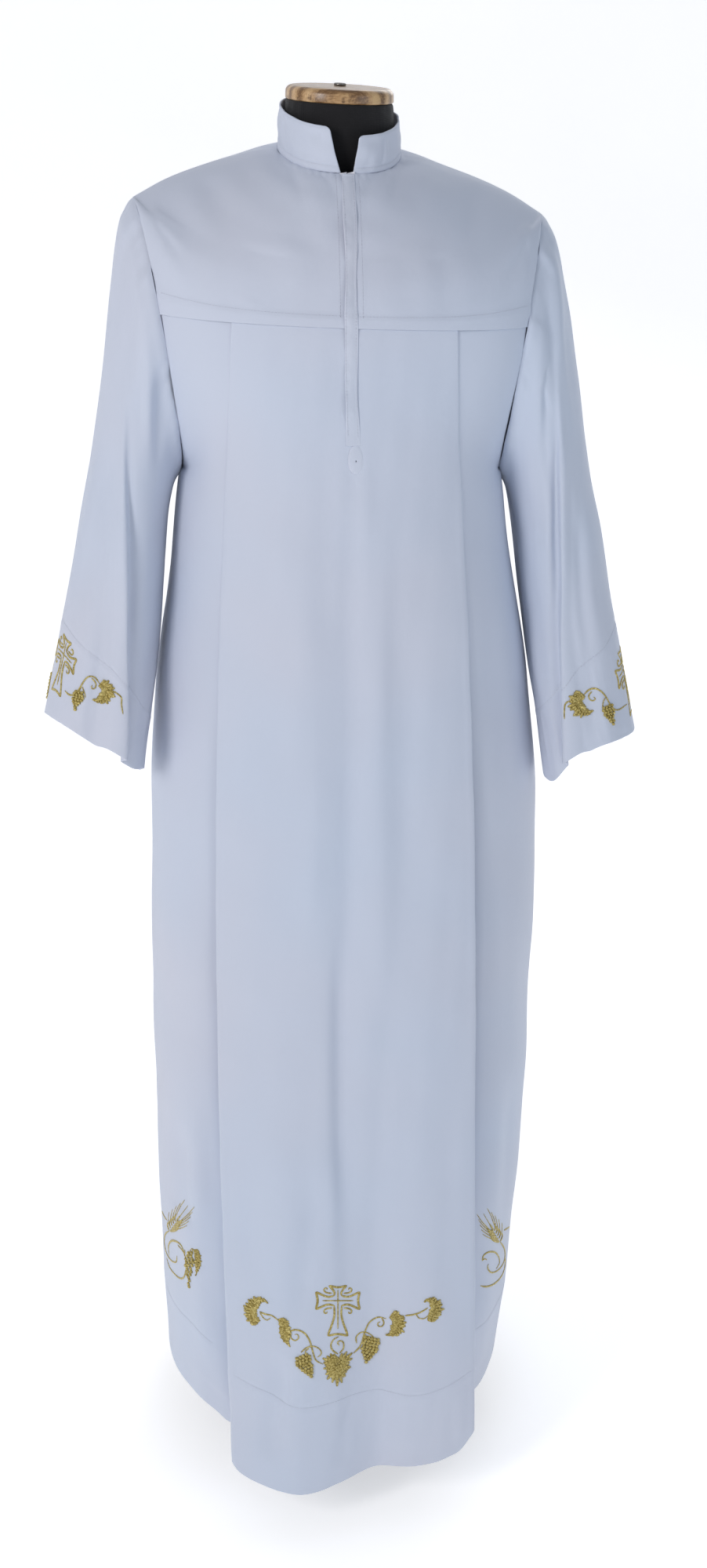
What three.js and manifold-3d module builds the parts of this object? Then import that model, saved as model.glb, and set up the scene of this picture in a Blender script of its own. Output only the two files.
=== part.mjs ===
// Alb: a long white liturgical tunic with a stand collar, a front yoke, a zip under a narrow fly,
// pleated front panel and wide straight sleeves, worn on a black dress form on a round stand.
// Millimetres, +Z up, front towards -Y. Origin on the floor under the pole of the stand.
import * as THREE from 'three';
import * as BufferGeometryUtils from 'three/addons/utils/BufferGeometryUtils.js';
import Module from 'manifold-3d';

const wasm = await Module();
wasm.setup();

// ---------------------------------------------------------------- driving dimensions
const WALL = 1.2;            // thickness of the cloth, with its lining and hems
const SEAM_GAP = 0.3;        // pieces lie this far apart at a seam
const HEM_Z = 60;            // nominal height of the front hem over the floor
const ARMPIT_Z = 1222;
const SHOULDER_TILT = 0.05;  // the +X shoulder hangs a little lower
const COLLAR_HEIGHT = 45;
const NOTCH_LEFT = -4.5, NOTCH_RIGHT = 8.5;   // the open front of the collar, at the neck seam
const NOTCH_TOP_LEFT = -16, NOTCH_TOP_RIGHT = 16;
const SLIT_X = 2, SLIT_W = 4, ZIP_END_Z = 1286;
const FLY_W = 13, FLY_T = 1.2;
const ZIP_TAPE_W = 22, ZIP_T = 0.9;
const CAP_R = 57.5, CAP_BOTTOM_Z = 1614, CAP_TOP_Z = 1629;
const STUD_R = 6.5, STUD_H = 2.6;
const POLE_R = 15, BASE_R = 165, BASE_T = 14, HUB_R = 31, HUB_H = 30;
const TORSO_BOTTOM_Z = 806;

// ---------------------------------------------------------------- tables
const table = (cols, rows) => {
  const t = {};
  cols.split(' ').forEach((c, i) => { t[c] = rows.map((r) => r[i]); });
  t.first = t[cols.split(' ')[0]];
  return t;
};

// shoulder seam, from the neck (row 0) to the shoulder tip (row 2), on the +X side
const EDGE = table('v x y z', [
  [0.00, 65, 4, 1562],
  [0.35, 86, 5, 1560],
  [0.80, 112, 6, 1553],
  [1.20, 147, 6, 1542],
  [1.60, 184, 6, 1527],
  [2.00, 221, 6, 1506],
]);
// side seam, from the hem to the armpit
const SIDE = table('z x y', [
  [60, 213, 4], [130, 217, 4], [200, 221, 4], [400, 227, 4], [640, 229, 4],
  [840, 226, 4], [980, 214, 5], [1110, 194, 6], [1222, 178, 6],
]);
// centre lines of front and back above the armpit
const FRONT = table('v y z', [
  [0.00, -70, 1547], [0.35, -79, 1537], [0.80, -92, 1521], [1.20, -102, 1503], [1.60, -112, 1481],
  [2.00, -119, 1460], [2.25, -127, 1432], [2.50, -132, 1380], [2.75, -135, 1310], [3.00, -138, 1225],
]);
const BACK = table('v y z', [
  [0.00, 66, 1572], [0.35, 78, 1565], [0.80, 94, 1550], [1.20, 107, 1530], [1.60, 117, 1503],
  [2.00, 124, 1470], [2.25, 128, 1438], [2.50, 131, 1382], [2.75, 131, 1311], [3.00, 130, 1225],
]);
// how far a row turns round towards its seams (k = 1: fully) and how square it is (n)
const WRAP = table('v k n', [
  [0.0, 1.0, 2.0], [1.0, 1.0, 2.0], [1.6, 0.98, 2.1], [2.0, 0.95, 2.2],
  [2.3, 0.90, 2.25], [2.6, 0.90, 2.3], [2.85, 0.96, 2.35], [3.0, 1.0, 2.4],
]);
// skirt rings: front and back depth, squareness of the front at -X and +X and of the back, sideways shift
const SKIRT = table('z fy by nl nr nb shift', [
  [60, 262, 232, 2.2, 1.9, 2.0, -13], [200, 248, 220, 2.3, 2.1, 2.05, -9], [400, 228, 202, 2.4, 2.3, 2.15, -4],
  [640, 202, 180, 2.4, 2.4, 2.2, 0], [840, 181, 163, 2.4, 2.4, 2.2, 3], [1050, 156, 144, 2.4, 2.4, 2.25, 1],
  [1222, 138, 130, 2.4, 2.4, 2.3, 0],
]);
// height of the hem round the skirt: 0 centre front, 1 side seam, 2 centre back
const HEM = table('a z', [[0, 70], [0.6, 73], [1.0, 78], [1.5, 80], [2.0, 76]]);
// front panel between its two pleats: edges, how far it stands off at each edge and in the middle,
// depth of the tuck behind it, and half the distance between two layers
const PANEL = table('z xl xr el ec er tuck r', [
  [60, -153, 139, 54, 12, 72, 44, 3.0], [200, -155, 139, 43, 11, 45, 42, 2.8], [400, -157, 138, 30, 9, 25, 38, 2.4],
  [640, -156, 138, 15, 6, 13, 34, 2.0], [840, -152, 136, 7, 3, 6, 30, 1.6], [1050, -143, 130, 2, 1, 2, 26, 1.2],
  [1222, -132, 122, 0, 0, 0, 24, 0.9], [1330, -126, 117, 0, 0, 0, 22, 0.85], [1403, -122, 114, 0, 0, 0, 20, 0.8],
]);
// height of the panel's hem over HEM_Z, by x
const PANEL_HEM = table('x dz', [[-156, 11], [-120, 1], [-72, -6], [-20, 2], [17, 7], [80, 9], [139, 17]]);
// soft folds: place, half width, how far they stand out at the hem, and the height where they fade
const PANEL_FOLDS = table('x w out top', [
  [-72, 44, 12, 900], [20, 24, -8, 760], [82, 34, 4, 620],
]);
const SIDE_FOLDS = table('u w out top', [
  [-0.97, 0.05, -5, 700], [-0.82, 0.05, 5, 560], [0.90, 0.06, -5, 640],
]);
const BACK_FOLDS = table('u w out top', [
  [-0.80, 0.11, 10, 1120], [-0.62, 0.08, -7, 900], [-0.40, 0.12, 15, 1330], [-0.14, 0.10, -9, 1000],
  [0.06, 0.09, 9, 980], [0.32, 0.13, 17, 1300], [0.55, 0.08, -8, 900], [0.74, 0.11, 11, 1180],
]);
// sleeve rings from the armhole (s = 0) to the cuff (s = 1): top point, underarm point,
// and how far the front and the back of the ring stand off its middle; x counts outwards
const SLEEVES = {
  left: table('s tx ty tz ux uy uz fx fy fz bx by bz', [
    [0.00, 221, 6, 1506, 178, 6, 1222, -9, -80, 0, -3, 84, 0],
    [0.06, 236, 4, 1482, 189, 2, 1198, -7, -78, 2, -2, 82, -1],
    [0.20, 248, 0, 1408, 197, -6, 1150, -4, -74, 6, 0, 78, -3],
    [0.40, 267, -6, 1286, 204, -24, 1074, 0, -70, 12, 2, 74, -6],
    [0.60, 290, -13, 1172, 212, -44, 1009, 4, -68, 20, 4, 71, -8],
    [0.80, 314, -21, 1060, 222, -66, 950, 8, -68, 28, 6, 68, -10],
    [1.00, 338, -30, 948, 232, -84, 890, 12, -66, 34, 8, 66, -12],
  ]),
  right: table('s tx ty tz ux uy uz fx fy fz bx by bz', [
    [0.00, 221, 6, 1506, 178, 6, 1222, -9, -80, 0, -3, 84, 0],
    [0.06, 236, 4, 1482, 189, 2, 1198, -7, -78, 2, -2, 82, -1],
    [0.20, 250, 0, 1405, 197, -6, 1150, -4, -74, 5, 0, 78, -3],
    [0.40, 270, -6, 1283, 204, -24, 1074, 0, -70, 9, 2, 74, -6],
    [0.60, 288, -13, 1168, 212, -44, 1005, 4, -68, 13, 4, 71, -8],
    [0.80, 307, -21, 1050, 220, -66, 944, 8, -68, 18, 6, 68, -10],
    [1.00, 329, -30, 934, 228, -86, 881, 12, -66, 22, 8, 66, -12],
  ]),
};
const SLEEVE_ROWS = [0, 0.06, 0.18, 0.34, 0.48, 0.62, 0.75, 0.88, 1];
// sleeve folds: angle round the ring (0 top, 90 front, 180 under, -90 back), half width, depth, start
const SLEEVE_FOLDS = {
  left: table('deg w out from', [
    [128, 13, 8, 0.30], [102, 12, -9, 0.28], [70, 16, 4, 0.35], [-60, 20, 7, 0.35], [-100, 18, -6, 0.4], [-140, 18, 5, 0.4],
  ]),
  right: table('deg w out from', [
    [118, 12, 7, 0.25], [96, 11, -8, 0.25], [60, 18, 4, 0.4], [-70, 20, 7, 0.3], [-108, 16, -6, 0.4], [-145, 18, 5, 0.45],
  ]),
};
// collar: height over the neck seam, half width and depths of each ring
const COLLAR = table('h x fy by lean', [[0, 65, -70, 66, 0], [22, 63.5, -69.5, 64, 0], [45, 62.5, -68.5, 61.5, 0]]);
// dress form: height, half width, front depth, back depth, squareness
const TORSO = table('z x f b n', [
  [806, 150, 82, 92, 2.3], [830, 160, 92, 100, 2.4], [950, 168, 98, 106, 2.4], [1100, 146, 92, 96, 2.3],
  [1250, 158, 106, 104, 2.4], [1350, 172, 113, 108, 2.4], [1420, 182, 110, 110, 2.4], [1460, 184, 100, 108, 2.3],
  [1490, 174, 88, 102, 2.2], [1510, 150, 76, 92, 2.1], [1526, 121, 66, 80, 2.0], [1538, 94, 58, 68, 2.0],
  [1548, 70, 54, 59, 2.0], [1560, 59, 54, 56, 2.0], [1585, 58, 54.5, 56.5, 2.0], [1605, 57.5, 55.5, 57, 2.0], [1613.7, 56.5, 55.5, 56.5, 2.0],
]);

// ---------------------------------------------------------------- curves
// monotone cubic through the rows of a table
function at(tab, col, x) {
  const xs = tab.first, ys = tab[col], n = xs.length;
  if (x <= xs[0]) return ys[0];
  if (x >= xs[n - 1]) return ys[n - 1];
  let i = 0;
  while (i < n - 2 && x > xs[i + 1]) i++;
  const h = (k) => xs[k + 1] - xs[k], d = (k) => (ys[k + 1] - ys[k]) / h(k);
  const slope = (k) => {
    if (k === 0) return d(0);
    if (k === n - 1) return d(n - 2);
    const a = d(k - 1), b = d(k);
    if (a * b <= 0) return 0;
    const w1 = 2 * h(k) + h(k - 1), w2 = h(k) + 2 * h(k - 1);
    return (w1 + w2) / (w1 / a + w2 / b);
  };
  const t = (x - xs[i]) / h(i), t2 = t * t, t3 = t2 * t;
  return (2 * t3 - 3 * t2 + 1) * ys[i] + (t3 - 2 * t2 + t) * h(i) * slope(i)
    + (-2 * t3 + 3 * t2) * ys[i + 1] + (t3 - t2) * h(i) * slope(i + 1);
}
const smooth = (a, b, x) => { const t = Math.min(1, Math.max(0, (x - a) / (b - a))); return t * t * (3 - 2 * t); };
const linspace = (a, b, n) => Array.from({ length: n + 1 }, (_, i) => a + (b - a) * i / n);
const bump = (x, c, w) => Math.exp(-(((x - c) / w) ** 2));
const tilt = (p) => [p[0], p[1], p[2] - SHOULDER_TILT * p[0] * smooth(1000, 1450, p[2])];

function sleeveRing(s, phi, side) {
  const g = (c) => at(side < 0 ? SLEEVES.left : SLEEVES.right, c, s);
  const T = [g('tx'), g('ty'), g('tz')], U = [g('ux'), g('uy'), g('uz')];
  const c = Math.cos(phi), sn = Math.sin(phi);
  const B = sn >= 0 ? [g('fx'), g('fy'), g('fz')] : [g('bx'), g('by'), g('bz')];
  const p = [0, 1, 2].map((i) => (T[i] + U[i]) / 2 + (T[i] - U[i]) / 2 * c + B[i] * Math.abs(sn));
  return [p[0] * side, p[1], p[2]];
}

// one point of a front or back row: u from -1 (seam at -X) to 1 (seam at +X)
function across(xe, ye, yc, ze, zc, k, n, u) {
  const h = (q) => Math.max(0, 1 - Math.abs(q) ** n) ** (1 / n);
  const w = (h(k * u) - h(k)) / (1 - h(k));
  return [xe * u, ye + (yc - ye) * w, ze + (zc - ze) * (0.5 * w * w * (3 - 2 * w) + 0.5 * w)];
}
// steps of u that crowd towards the seams, where the row turns
const uOf = (a, k = 1, n = 2.2) => {
  const m = Math.asin(Math.min(1, k ** (n / 2))), s = Math.sin(a * m);
  return Math.sign(s) * Math.abs(s) ** (2 / n) / k;
};
// rows above the armpit
function upper(v, u, front) {
  const line = front ? FRONT : BACK;
  const [xe, ye, ze] = v <= 2 ? ['x', 'y', 'z'].map((c) => at(EDGE, c, v))
    : sleeveRing(0, Math.PI * (v - 2) * (front ? 1 : -1), 1);
  return across(xe, ye, at(line, 'y', v), ze, at(line, 'z', v), at(WRAP, 'k', v), at(WRAP, 'n', v), u);
}
// rows of the skirt, by nominal height
function skirt(z, u, front) {
  const p = across(at(SIDE, 'x', z), at(SIDE, 'y', z), front ? -at(SKIRT, 'fy', z) : at(SKIRT, 'by', z),
    z, z, 1, at(SKIRT, front ? (u < 0 ? 'nl' : 'nr') : 'nb', z), u);
  p[0] += at(SKIRT, 'shift', z);
  const round = front ? Math.abs(u) ** 1.5 : 2 - Math.abs(u) ** 1.5;
  p[2] += (at(HEM, 'z', round) - HEM_Z) * (1 - smooth(60, 900, z));
  const folds = front ? SIDE_FOLDS : BACK_FOLDS;
  folds.u.forEach((c, i) => {
    const d = folds.out[i] * bump(u, c, folds.w[i]) * (1 - smooth(HEM_Z, folds.top[i], z)) * (1 - Math.abs(u) ** 8);
    p[1] += front ? -d : d;
  });
  return p;
}
// rows are numbered v: 0 neck, 2 shoulder tip, 3 armpit, then 3..4 down to the hem
const heightOf = (v) => ARMPIT_Z + (HEM_Z - ARMPIT_Z) * (v - 3);
const base = (v, u, front) => (v <= 3 ? upper(v, u, front) : skirt(heightOf(v), u, front));

// ---------------------------------------------------------------- solids
const sub = (a, b) => [a[0] - b[0], a[1] - b[1], a[2] - b[2]];
const mad = (a, b, s) => [a[0] + b[0] * s, a[1] + b[1] * s, a[2] + b[2] * s];
const cross = (a, b) => [a[1] * b[2] - a[2] * b[1], a[2] * b[0] - a[0] * b[2], a[0] * b[1] - a[1] * b[0]];
const unit = (a) => { const l = Math.hypot(...a) || 1; return [a[0] / l, a[1] / l, a[2] / l]; };

function geometryOf(points, triangles) {
  const g = new THREE.BufferGeometry();
  g.setAttribute('position', new THREE.BufferAttribute(new Float32Array(points.flat()), 3));
  g.setIndex(triangles.flat());
  return g;
}
// a sheet of cloth as a closed solid: grid[row][column], `ring` closes each row on itself,
// pull moves the edges back along the cloth: [first row, last row, first column, last column]
function cloth(grid, { ring = false, pull = [0, 0, 0, 0], wall = WALL, flip = false } = {}) {
  const R = grid.length, C = grid[0].length;
  const g = grid.map((r) => r.map((p) => p.slice()));
  const back = (p, q, d) => mad(p, unit(sub(q, p)), d);
  const amount = (d, i) => (typeof d === 'function' ? d(i) : d);
  for (let j = 0; j < C; j++) {
    if (pull[0]) g[0][j] = back(grid[0][j], grid[1][j], amount(pull[0], j));
    if (pull[1]) g[R - 1][j] = back(grid[R - 1][j], grid[R - 2][j], amount(pull[1], j));
  }
  if (!ring) {
    for (let i = 0; i < R; i++) {
      if (pull[2]) g[i][0] = mad(g[i][0], unit(sub(grid[i][1], grid[i][0])), amount(pull[2], i));
      if (pull[3]) g[i][C - 1] = mad(g[i][C - 1], unit(sub(grid[i][C - 2], grid[i][C - 1])), amount(pull[3], i));
    }
  }
  const CC = ring ? C : C - 1;
  const normal = g.map((r) => r.map(() => [0, 0, 0]));
  for (let i = 0; i < R - 1; i++) {
    for (let j = 0; j < CC; j++) {
      const k = (j + 1) % C;
      const n = cross(sub(g[i + 1][k], g[i][j]), sub(g[i][k], g[i + 1][j]));
      for (const [a, b] of [[i, j], [i, k], [i + 1, j], [i + 1, k]]) normal[a][b] = mad(normal[a][b], n, 1);
    }
  }
  const s = (flip ? -1 : 1) * wall / 2, points = [];
  for (const f of [s, -s]) {
    for (let i = 0; i < R; i++) for (let j = 0; j < C; j++) points.push(mad(g[i][j], unit(normal[i][j]), f));
  }
  const o = (i, j) => i * C + (j % C), n2 = R * C, q = (i, j) => n2 + o(i, j);
  const tri = [];
  const quad = (a, b, c, d) => { if (flip) tri.push([a, c, b], [a, d, c]); else tri.push([a, b, c], [a, c, d]); };
  for (let i = 0; i < R - 1; i++) {
    for (let j = 0; j < CC; j++) {
      quad(o(i, j), o(i + 1, j), o(i + 1, j + 1), o(i, j + 1));
      quad(q(i, j), q(i, j + 1), q(i + 1, j + 1), q(i + 1, j));
    }
  }
  for (let j = 0; j < CC; j++) {
    quad(o(0, j), o(0, j + 1), q(0, j + 1), q(0, j));
    quad(o(R - 1, j + 1), o(R - 1, j), q(R - 1, j), q(R - 1, j + 1));
  }
  if (!ring) {
    for (let i = 0; i < R - 1; i++) {
      quad(o(i + 1, 0), o(i, 0), q(i, 0), q(i + 1, 0));
      quad(o(i, C - 1), o(i + 1, C - 1), q(i + 1, C - 1), q(i, C - 1));
    }
  }
  return geometryOf(points, tri);
}
// a solid from closed rings of equal length, with flat ends
function loft(rings) {
  const R = rings.length, C = rings[0].length, points = rings.flat(), tri = [];
  for (let i = 0; i < R - 1; i++) {
    for (let j = 0; j < C; j++) {
      const k = (j + 1) % C;
      tri.push([i * C + j, i * C + k, (i + 1) * C + k], [i * C + j, (i + 1) * C + k, (i + 1) * C + j]);
    }
  }
  const mid = (r) => r.reduce((a, p) => mad(a, p, 1 / C), [0, 0, 0]);
  points.push(mid(rings[0]), mid(rings[R - 1]));
  const a = R * C, b = a + 1;
  for (let j = 0; j < C; j++) {
    const k = (j + 1) % C;
    tri.push([a, k, j], [b, (R - 1) * C + j, (R - 1) * C + k]);
  }
  return geometryOf(points, tri);
}
function solid(geometry) {
  const g = geometry.clone();
  g.deleteAttribute('normal');
  g.deleteAttribute('uv');
  const m = BufferGeometryUtils.mergeVertices(g, 1e-4);
  return new wasm.Manifold(new wasm.Mesh({
    numProp: 3, vertProperties: new Float32Array(m.attributes.position.array), triVerts: new Uint32Array(m.index.array),
  }));
}
function geometryFrom(manifold) {
  const m = manifold.getMesh();
  const g = new THREE.BufferGeometry();
  g.setAttribute('position', new THREE.BufferAttribute(new Float32Array(m.vertProperties), 3));
  g.setIndex(new THREE.BufferAttribute(new Uint32Array(m.triVerts), 1));
  return g;
}

// ---------------------------------------------------------------- rows and columns
const V_SHOULDER = [0, 0.35, 0.8, 1.2, 1.6, 2];
const V_ARMHOLE = linspace(2, 3, 12);
const V_YOKE = V_ARMHOLE[5];
const V_SKIRT = [1150, 1060, 960, 860, 740, 610, 480, 360, 250, 150, 60].map((z) => 3 + (ARMPIT_Z - z) / (ARMPIT_Z - HEM_Z));

// the angle at which the sleeve leaves the body differs round the armhole; both edges draw back from it
const ARMHOLE_PULL = 0.8;
const SEAM_PULL = SEAM_GAP / 2 + 0.05;
const SHOULDER_PULL = 0.42;

// back: one piece from the neck to the hem
const backRows = [...V_SHOULDER, ...V_ARMHOLE.slice(1), ...V_SKIRT];
const backCols = linspace(-1, 1, 20);
const backPull = (i) => (backRows[i] <= 2 ? SHOULDER_PULL : backRows[i] <= 3 ? ARMHOLE_PULL : SEAM_PULL);
const back = cloth(backRows.map((v) => backCols.map((a) => tilt(base(v, uOf(a, v > 3 ? 1 : at(WRAP, 'k', v)), false)))), {
  flip: true, pull: [0.6, 0, backPull, backPull],
});

// yokes: the two halves of the upper front, with the slit of the zip between them
const yokeRows = [...V_SHOULDER, ...V_ARMHOLE.slice(1, 6)];
function yoke(side) {
  const grid = yokeRows.map((v) => {
    const xe = base(v, 1, true)[0], k = at(WRAP, 'k', v);
    const edge = (SLIT_X + side * SLIT_W / 2) / xe;
    return linspace(0, 1, 10).map((a) => {
      const u = side * uOf(a, k);
      return tilt(base(v, edge + (u) * (1 - side * edge), true));
    });
  });
  return cloth(grid, {
    flip: side < 0, pull: [0.6, SEAM_PULL, 0, (i) => (yokeRows[i] > 2 ? ARMHOLE_PULL : SHOULDER_PULL)],
  });
}

// lower front: side parts, a Z-fold at each side of the centre panel, and the panel
const lowerRows = [V_YOKE, ...V_ARMHOLE.slice(6), ...V_SKIRT];
function frontRow(v) {
  const z = v <= 3 ? upper(v, 0, true)[2] : heightOf(v);
  const P = (c) => at(PANEL, c, z), r = P('r');
  const xe = base(v, 1, true)[0] - (v > 3 ? at(SKIRT, 'shift', z) : 0), sh = v > 3 ? at(SKIRT, 'shift', z) : 0;
  const u = (x) => (x - sh) / xe;
  // how far the panel stands off the ring, by x
  const off = (x) => {
    const t = (x - P('xl')) / (P('xr') - P('xl'));
    const c = Math.sin(Math.PI * Math.min(1, Math.max(0, t)));
    let d = 4 * r + (P('el') * (1 - t) + P('er') * t) * (1 - c) + P('ec') * c;
    PANEL_FOLDS.x.forEach((f, i) => {
      d += PANEL_FOLDS.out[i] * bump(x, f, PANEL_FOLDS.w[i]) * (1 - smooth(HEM_Z, PANEL_FOLDS.top[i], z));
    });
    return d;
  };
  const dz = (x) => at(PANEL_HEM, 'dz', x) - 10;
  const low = 1 - smooth(60, 800, z);
  const point = (x, d, share) => {
    const p = base(v, u(x), true);
    p[1] -= d;
    p[2] += dz(x) * low * share;
    return p;
  };
  const pleat = (s) => {               // s -1: at -X; from the side seam inwards
    const xo = s < 0 ? P('xl') : P('xr'), xi = xo - s * P('tuck');
    const pts = [];
    const ui = u(xi);
    const k = v > 3 ? 1 : at(WRAP, 'k', v);
    const a0 = Math.abs(ui);
    for (const a of linspace(1, 0, 6).slice(0, 6)) {
      const uu = s * (a0 + (1 - a0) * uOf(a, k) ** 1.0);
      pts.push(base(v, uu, true));
    }
    pts.push(point(xi, 0, 0));
    for (const q of [60, 120]) pts.push(point(xi - s * r * Math.sin(q * Math.PI / 180), r - r * Math.cos(q * Math.PI / 180), 0));
    pts.push(point(xi, 2 * r, 0));
    const D = off(xo);
    const xe2 = xo - s * r;             // the fold turns about this line
    const mid = (xi + xe2) / 2;
    pts.push(point(mid, (2 * r + D - 2 * r) / 2, 0.5));
    pts.push(point(xe2, D - 2 * r, 1));
    for (const q of [60, 120]) pts.push(point(xe2 + s * r * Math.sin(q * Math.PI / 180), D - r - r * Math.cos(q * Math.PI / 180), 1));
    pts.push(point(xe2, off(xe2), 1));
    return pts;
  };
  const left = pleat(-1), right = pleat(1).reverse();
  const xl = P('xl') + r, xr = P('xr') - r;
  const panel = linspace(0, 1, 12).slice(1, 12).map((t) => { const x = xl + (xr - xl) * t; return point(x, off(x), 1); });
  return [...left, ...panel, ...right].map(tilt);
}
const lowerGrid = lowerRows.map(frontRow);
const lowerPull = (i) => (lowerRows[i] < 3 ? ARMHOLE_PULL : SEAM_PULL);
let lower = solid(cloth(lowerGrid, { pull: [SEAM_PULL, 0, lowerPull, lowerPull] }));
{
  const slit = new THREE.BoxGeometry(SLIT_W, 120, 1460 - ZIP_END_Z);
  slit.translate(SLIT_X, -130, (1460 + ZIP_END_Z) / 2);
  lower = lower.subtract(solid(slit));
}

// a strip along the centre of the front: `section` gives closed corners [x, distance out of the cloth] at row v
function strip(vs, section) {
  return loft(vs.map((v) => {
    const on = (w, x) => { const xe = base(w, 1, true)[0]; return tilt(base(w, x / xe, true)); };
    const e = on(v - 0.02, SLIT_X), f = on(v + 0.02, SLIT_X);
    const n = unit([0, -(e[2] - f[2]), e[1] - f[1]]);
    return section(v).map(([x, d]) => mad(on(v, x), n, d));
  }));
}
const V_SEAM = [V_YOKE - 0.012, V_YOKE + 0.012];
const zip = strip([0.08, 0.35, 0.8, 1.2, 1.6, 1.9, 2.1, 2.25, V_YOKE, 2.5, 2.6, 2.7, 2.8], () => {
  const h = ZIP_TAPE_W / 2, f = SLIT_W / 2 - SEAM_GAP - 0.1, b = -WALL / 2 - 0.6, t = WALL / 2 - 0.1;
  return [[SLIT_X - h, b - ZIP_T], [SLIT_X, b - ZIP_T], [SLIT_X + h, b - ZIP_T], [SLIT_X + h, b], [SLIT_X + f, b], [SLIT_X + f, t], [SLIT_X - f, t], [SLIT_X - f, b], [SLIT_X - h, b]];
});
// the fly covers the zip; below the yoke seam it lies on the panel, which stands off the ring
const FLY = table('v x', [[0, 2.0], [0.8, 2.4], [1.6, 2.6], [2.2, 2.0], [2.42, 0.8], [2.6, 0.8], [2.75, 1.8], [2.9, 3.4]]);
const fly = strip([0.1, 0.35, 0.8, 1.2, 1.6, 1.9, 2.1, 2.25, ...V_SEAM, 2.5, 2.6, 2.7, 2.78, 2.86], (v) => {
  const z = upper(v, 0, true)[2], d = WALL / 2 + 0.7 + (v > V_YOKE - 0.02 ? 4 * at(PANEL, 'r', Math.min(z, 1403)) : 0);
  const x = at(FLY, 'x', v), h = FLY_W / 2;
  return [[x - h, d], [x, d], [x + h, d], [x + h, d + FLY_T], [x, d + FLY_T], [x - h, d + FLY_T]];
});

// sleeves
const phis = [...V_ARMHOLE.map((v) => Math.PI * (v - 2)), ...V_ARMHOLE.slice(1, 12).reverse().map((v) => -Math.PI * (v - 2))];
function sleeve(side) {
  const folds = side < 0 ? SLEEVE_FOLDS.left : SLEEVE_FOLDS.right;
  const grid = SLEEVE_ROWS.map((s) => phis.map((phi) => {
    const p = sleeveRing(s, phi, side);
    const c = sleeveRing(s, 0, side).map((a, i) => (a + sleeveRing(s, Math.PI, side)[i]) / 2);
    let d = 0;
    folds.deg.forEach((q, i) => {
      let e = phi * 180 / Math.PI - q;
      if (e > 180) e -= 360; else if (e < -180) e += 360;
      d += folds.out[i] * bump(e, 0, folds.w[i]) * smooth(folds.from[i], 1, s);
    });
    const under = s < 0.02 ? 1.9 * smooth(0.2, 0.9, -Math.cos(phi)) : 0;
    const w = mad(p, unit(sub(p, c)), d);
    w[0] += side * under;
    return tilt(w);
  }));
  return cloth(grid, { ring: true, flip: side > 0, pull: [ARMHOLE_PULL, 0, 0, 0] });
}

// stand collar
function collarPoint(h, u, front) {
  const neck = upper(0, u, front);
  const x = at(COLLAR, 'x', h) / at(COLLAR, 'x', 0);
  const y = front ? at(COLLAR, 'fy', h) / at(COLLAR, 'fy', 0) : at(COLLAR, 'by', h) / at(COLLAR, 'by', 0);
  return [neck[0] * x, neck[1] * y, neck[2] + h];
}
const collarRows = [0, 15, 30, 41, COLLAR_HEIGHT];
const collar = cloth(collarRows.map((h) => {
  const t = h / COLLAR_HEIGHT;
  const round = h > 40 ? (h - 40) * 1.3 : 0;
  const l = (NOTCH_LEFT + (NOTCH_TOP_LEFT - NOTCH_LEFT) * t ** 0.8 - round) / 65, r = (NOTCH_RIGHT + (NOTCH_TOP_RIGHT - NOTCH_RIGHT) * t ** 0.8 + round) / 65;
  const row = [];
  for (const a of linspace(0, 1, 9)) row.push(collarPoint(h, r + uOf(a, 1, 2) * (1 - r), true));
  for (const a of linspace(1, -1, 16).slice(1, 16)) row.push(collarPoint(h, uOf(a, 1, 2), false));
  for (const a of linspace(1, 0, 9)) row.push(collarPoint(h, l - uOf(a, 1, 2) * (1 + l), true));
  return row.map(tilt);
}), { wall: 2.0, flip: false, pull: [0.75, 0, 0, 0] });

// dress form
const torsoSides = 40;
const torso = loft(TORSO.z.map((z, i) => Array.from({ length: torsoSides }, (_, j) => {
  const q = 2 * Math.PI * j / torsoSides, c = Math.cos(q), s = Math.sin(q), n = TORSO.n[i];
  return tilt([
    Math.sign(c) * Math.abs(c) ** (2 / n) * TORSO.x[i],
    Math.sign(s) * Math.abs(s) ** (2 / n) * (s < 0 ? TORSO.f[i] : TORSO.b[i]), z]);
})));

const turned = (profile, sides) => {
  const g = new THREE.LatheGeometry(profile.map(([r, z]) => new THREE.Vector2(r, z)), sides);
  g.rotateX(Math.PI / 2);
  g.deleteAttribute('normal');
  g.deleteAttribute('uv');
  return BufferGeometryUtils.mergeVertices(g, 1e-4);
};
const cap = turned([[0, CAP_BOTTOM_Z], [CAP_R - 3, CAP_BOTTOM_Z], [CAP_R, CAP_BOTTOM_Z + 3], [CAP_R, CAP_TOP_Z - 7], [CAP_R - 1.6, CAP_TOP_Z - 3],
  [CAP_R - 5.5, CAP_TOP_Z - 0.6], [CAP_R - 10, CAP_TOP_Z], [0, CAP_TOP_Z]], 48);
const stud = turned([[0, CAP_TOP_Z + SEAM_GAP], [STUD_R, CAP_TOP_Z + SEAM_GAP], [STUD_R, CAP_TOP_Z + STUD_H - 0.5], [STUD_R - 0.6, CAP_TOP_Z + STUD_H], [0, CAP_TOP_Z + STUD_H]], 24);
const pole = turned([[0, BASE_T + HUB_H + SEAM_GAP], [POLE_R, BASE_T + HUB_H + SEAM_GAP], [POLE_R, TORSO_BOTTOM_Z - SEAM_GAP], [0, TORSO_BOTTOM_Z - SEAM_GAP]], 24);
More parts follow.
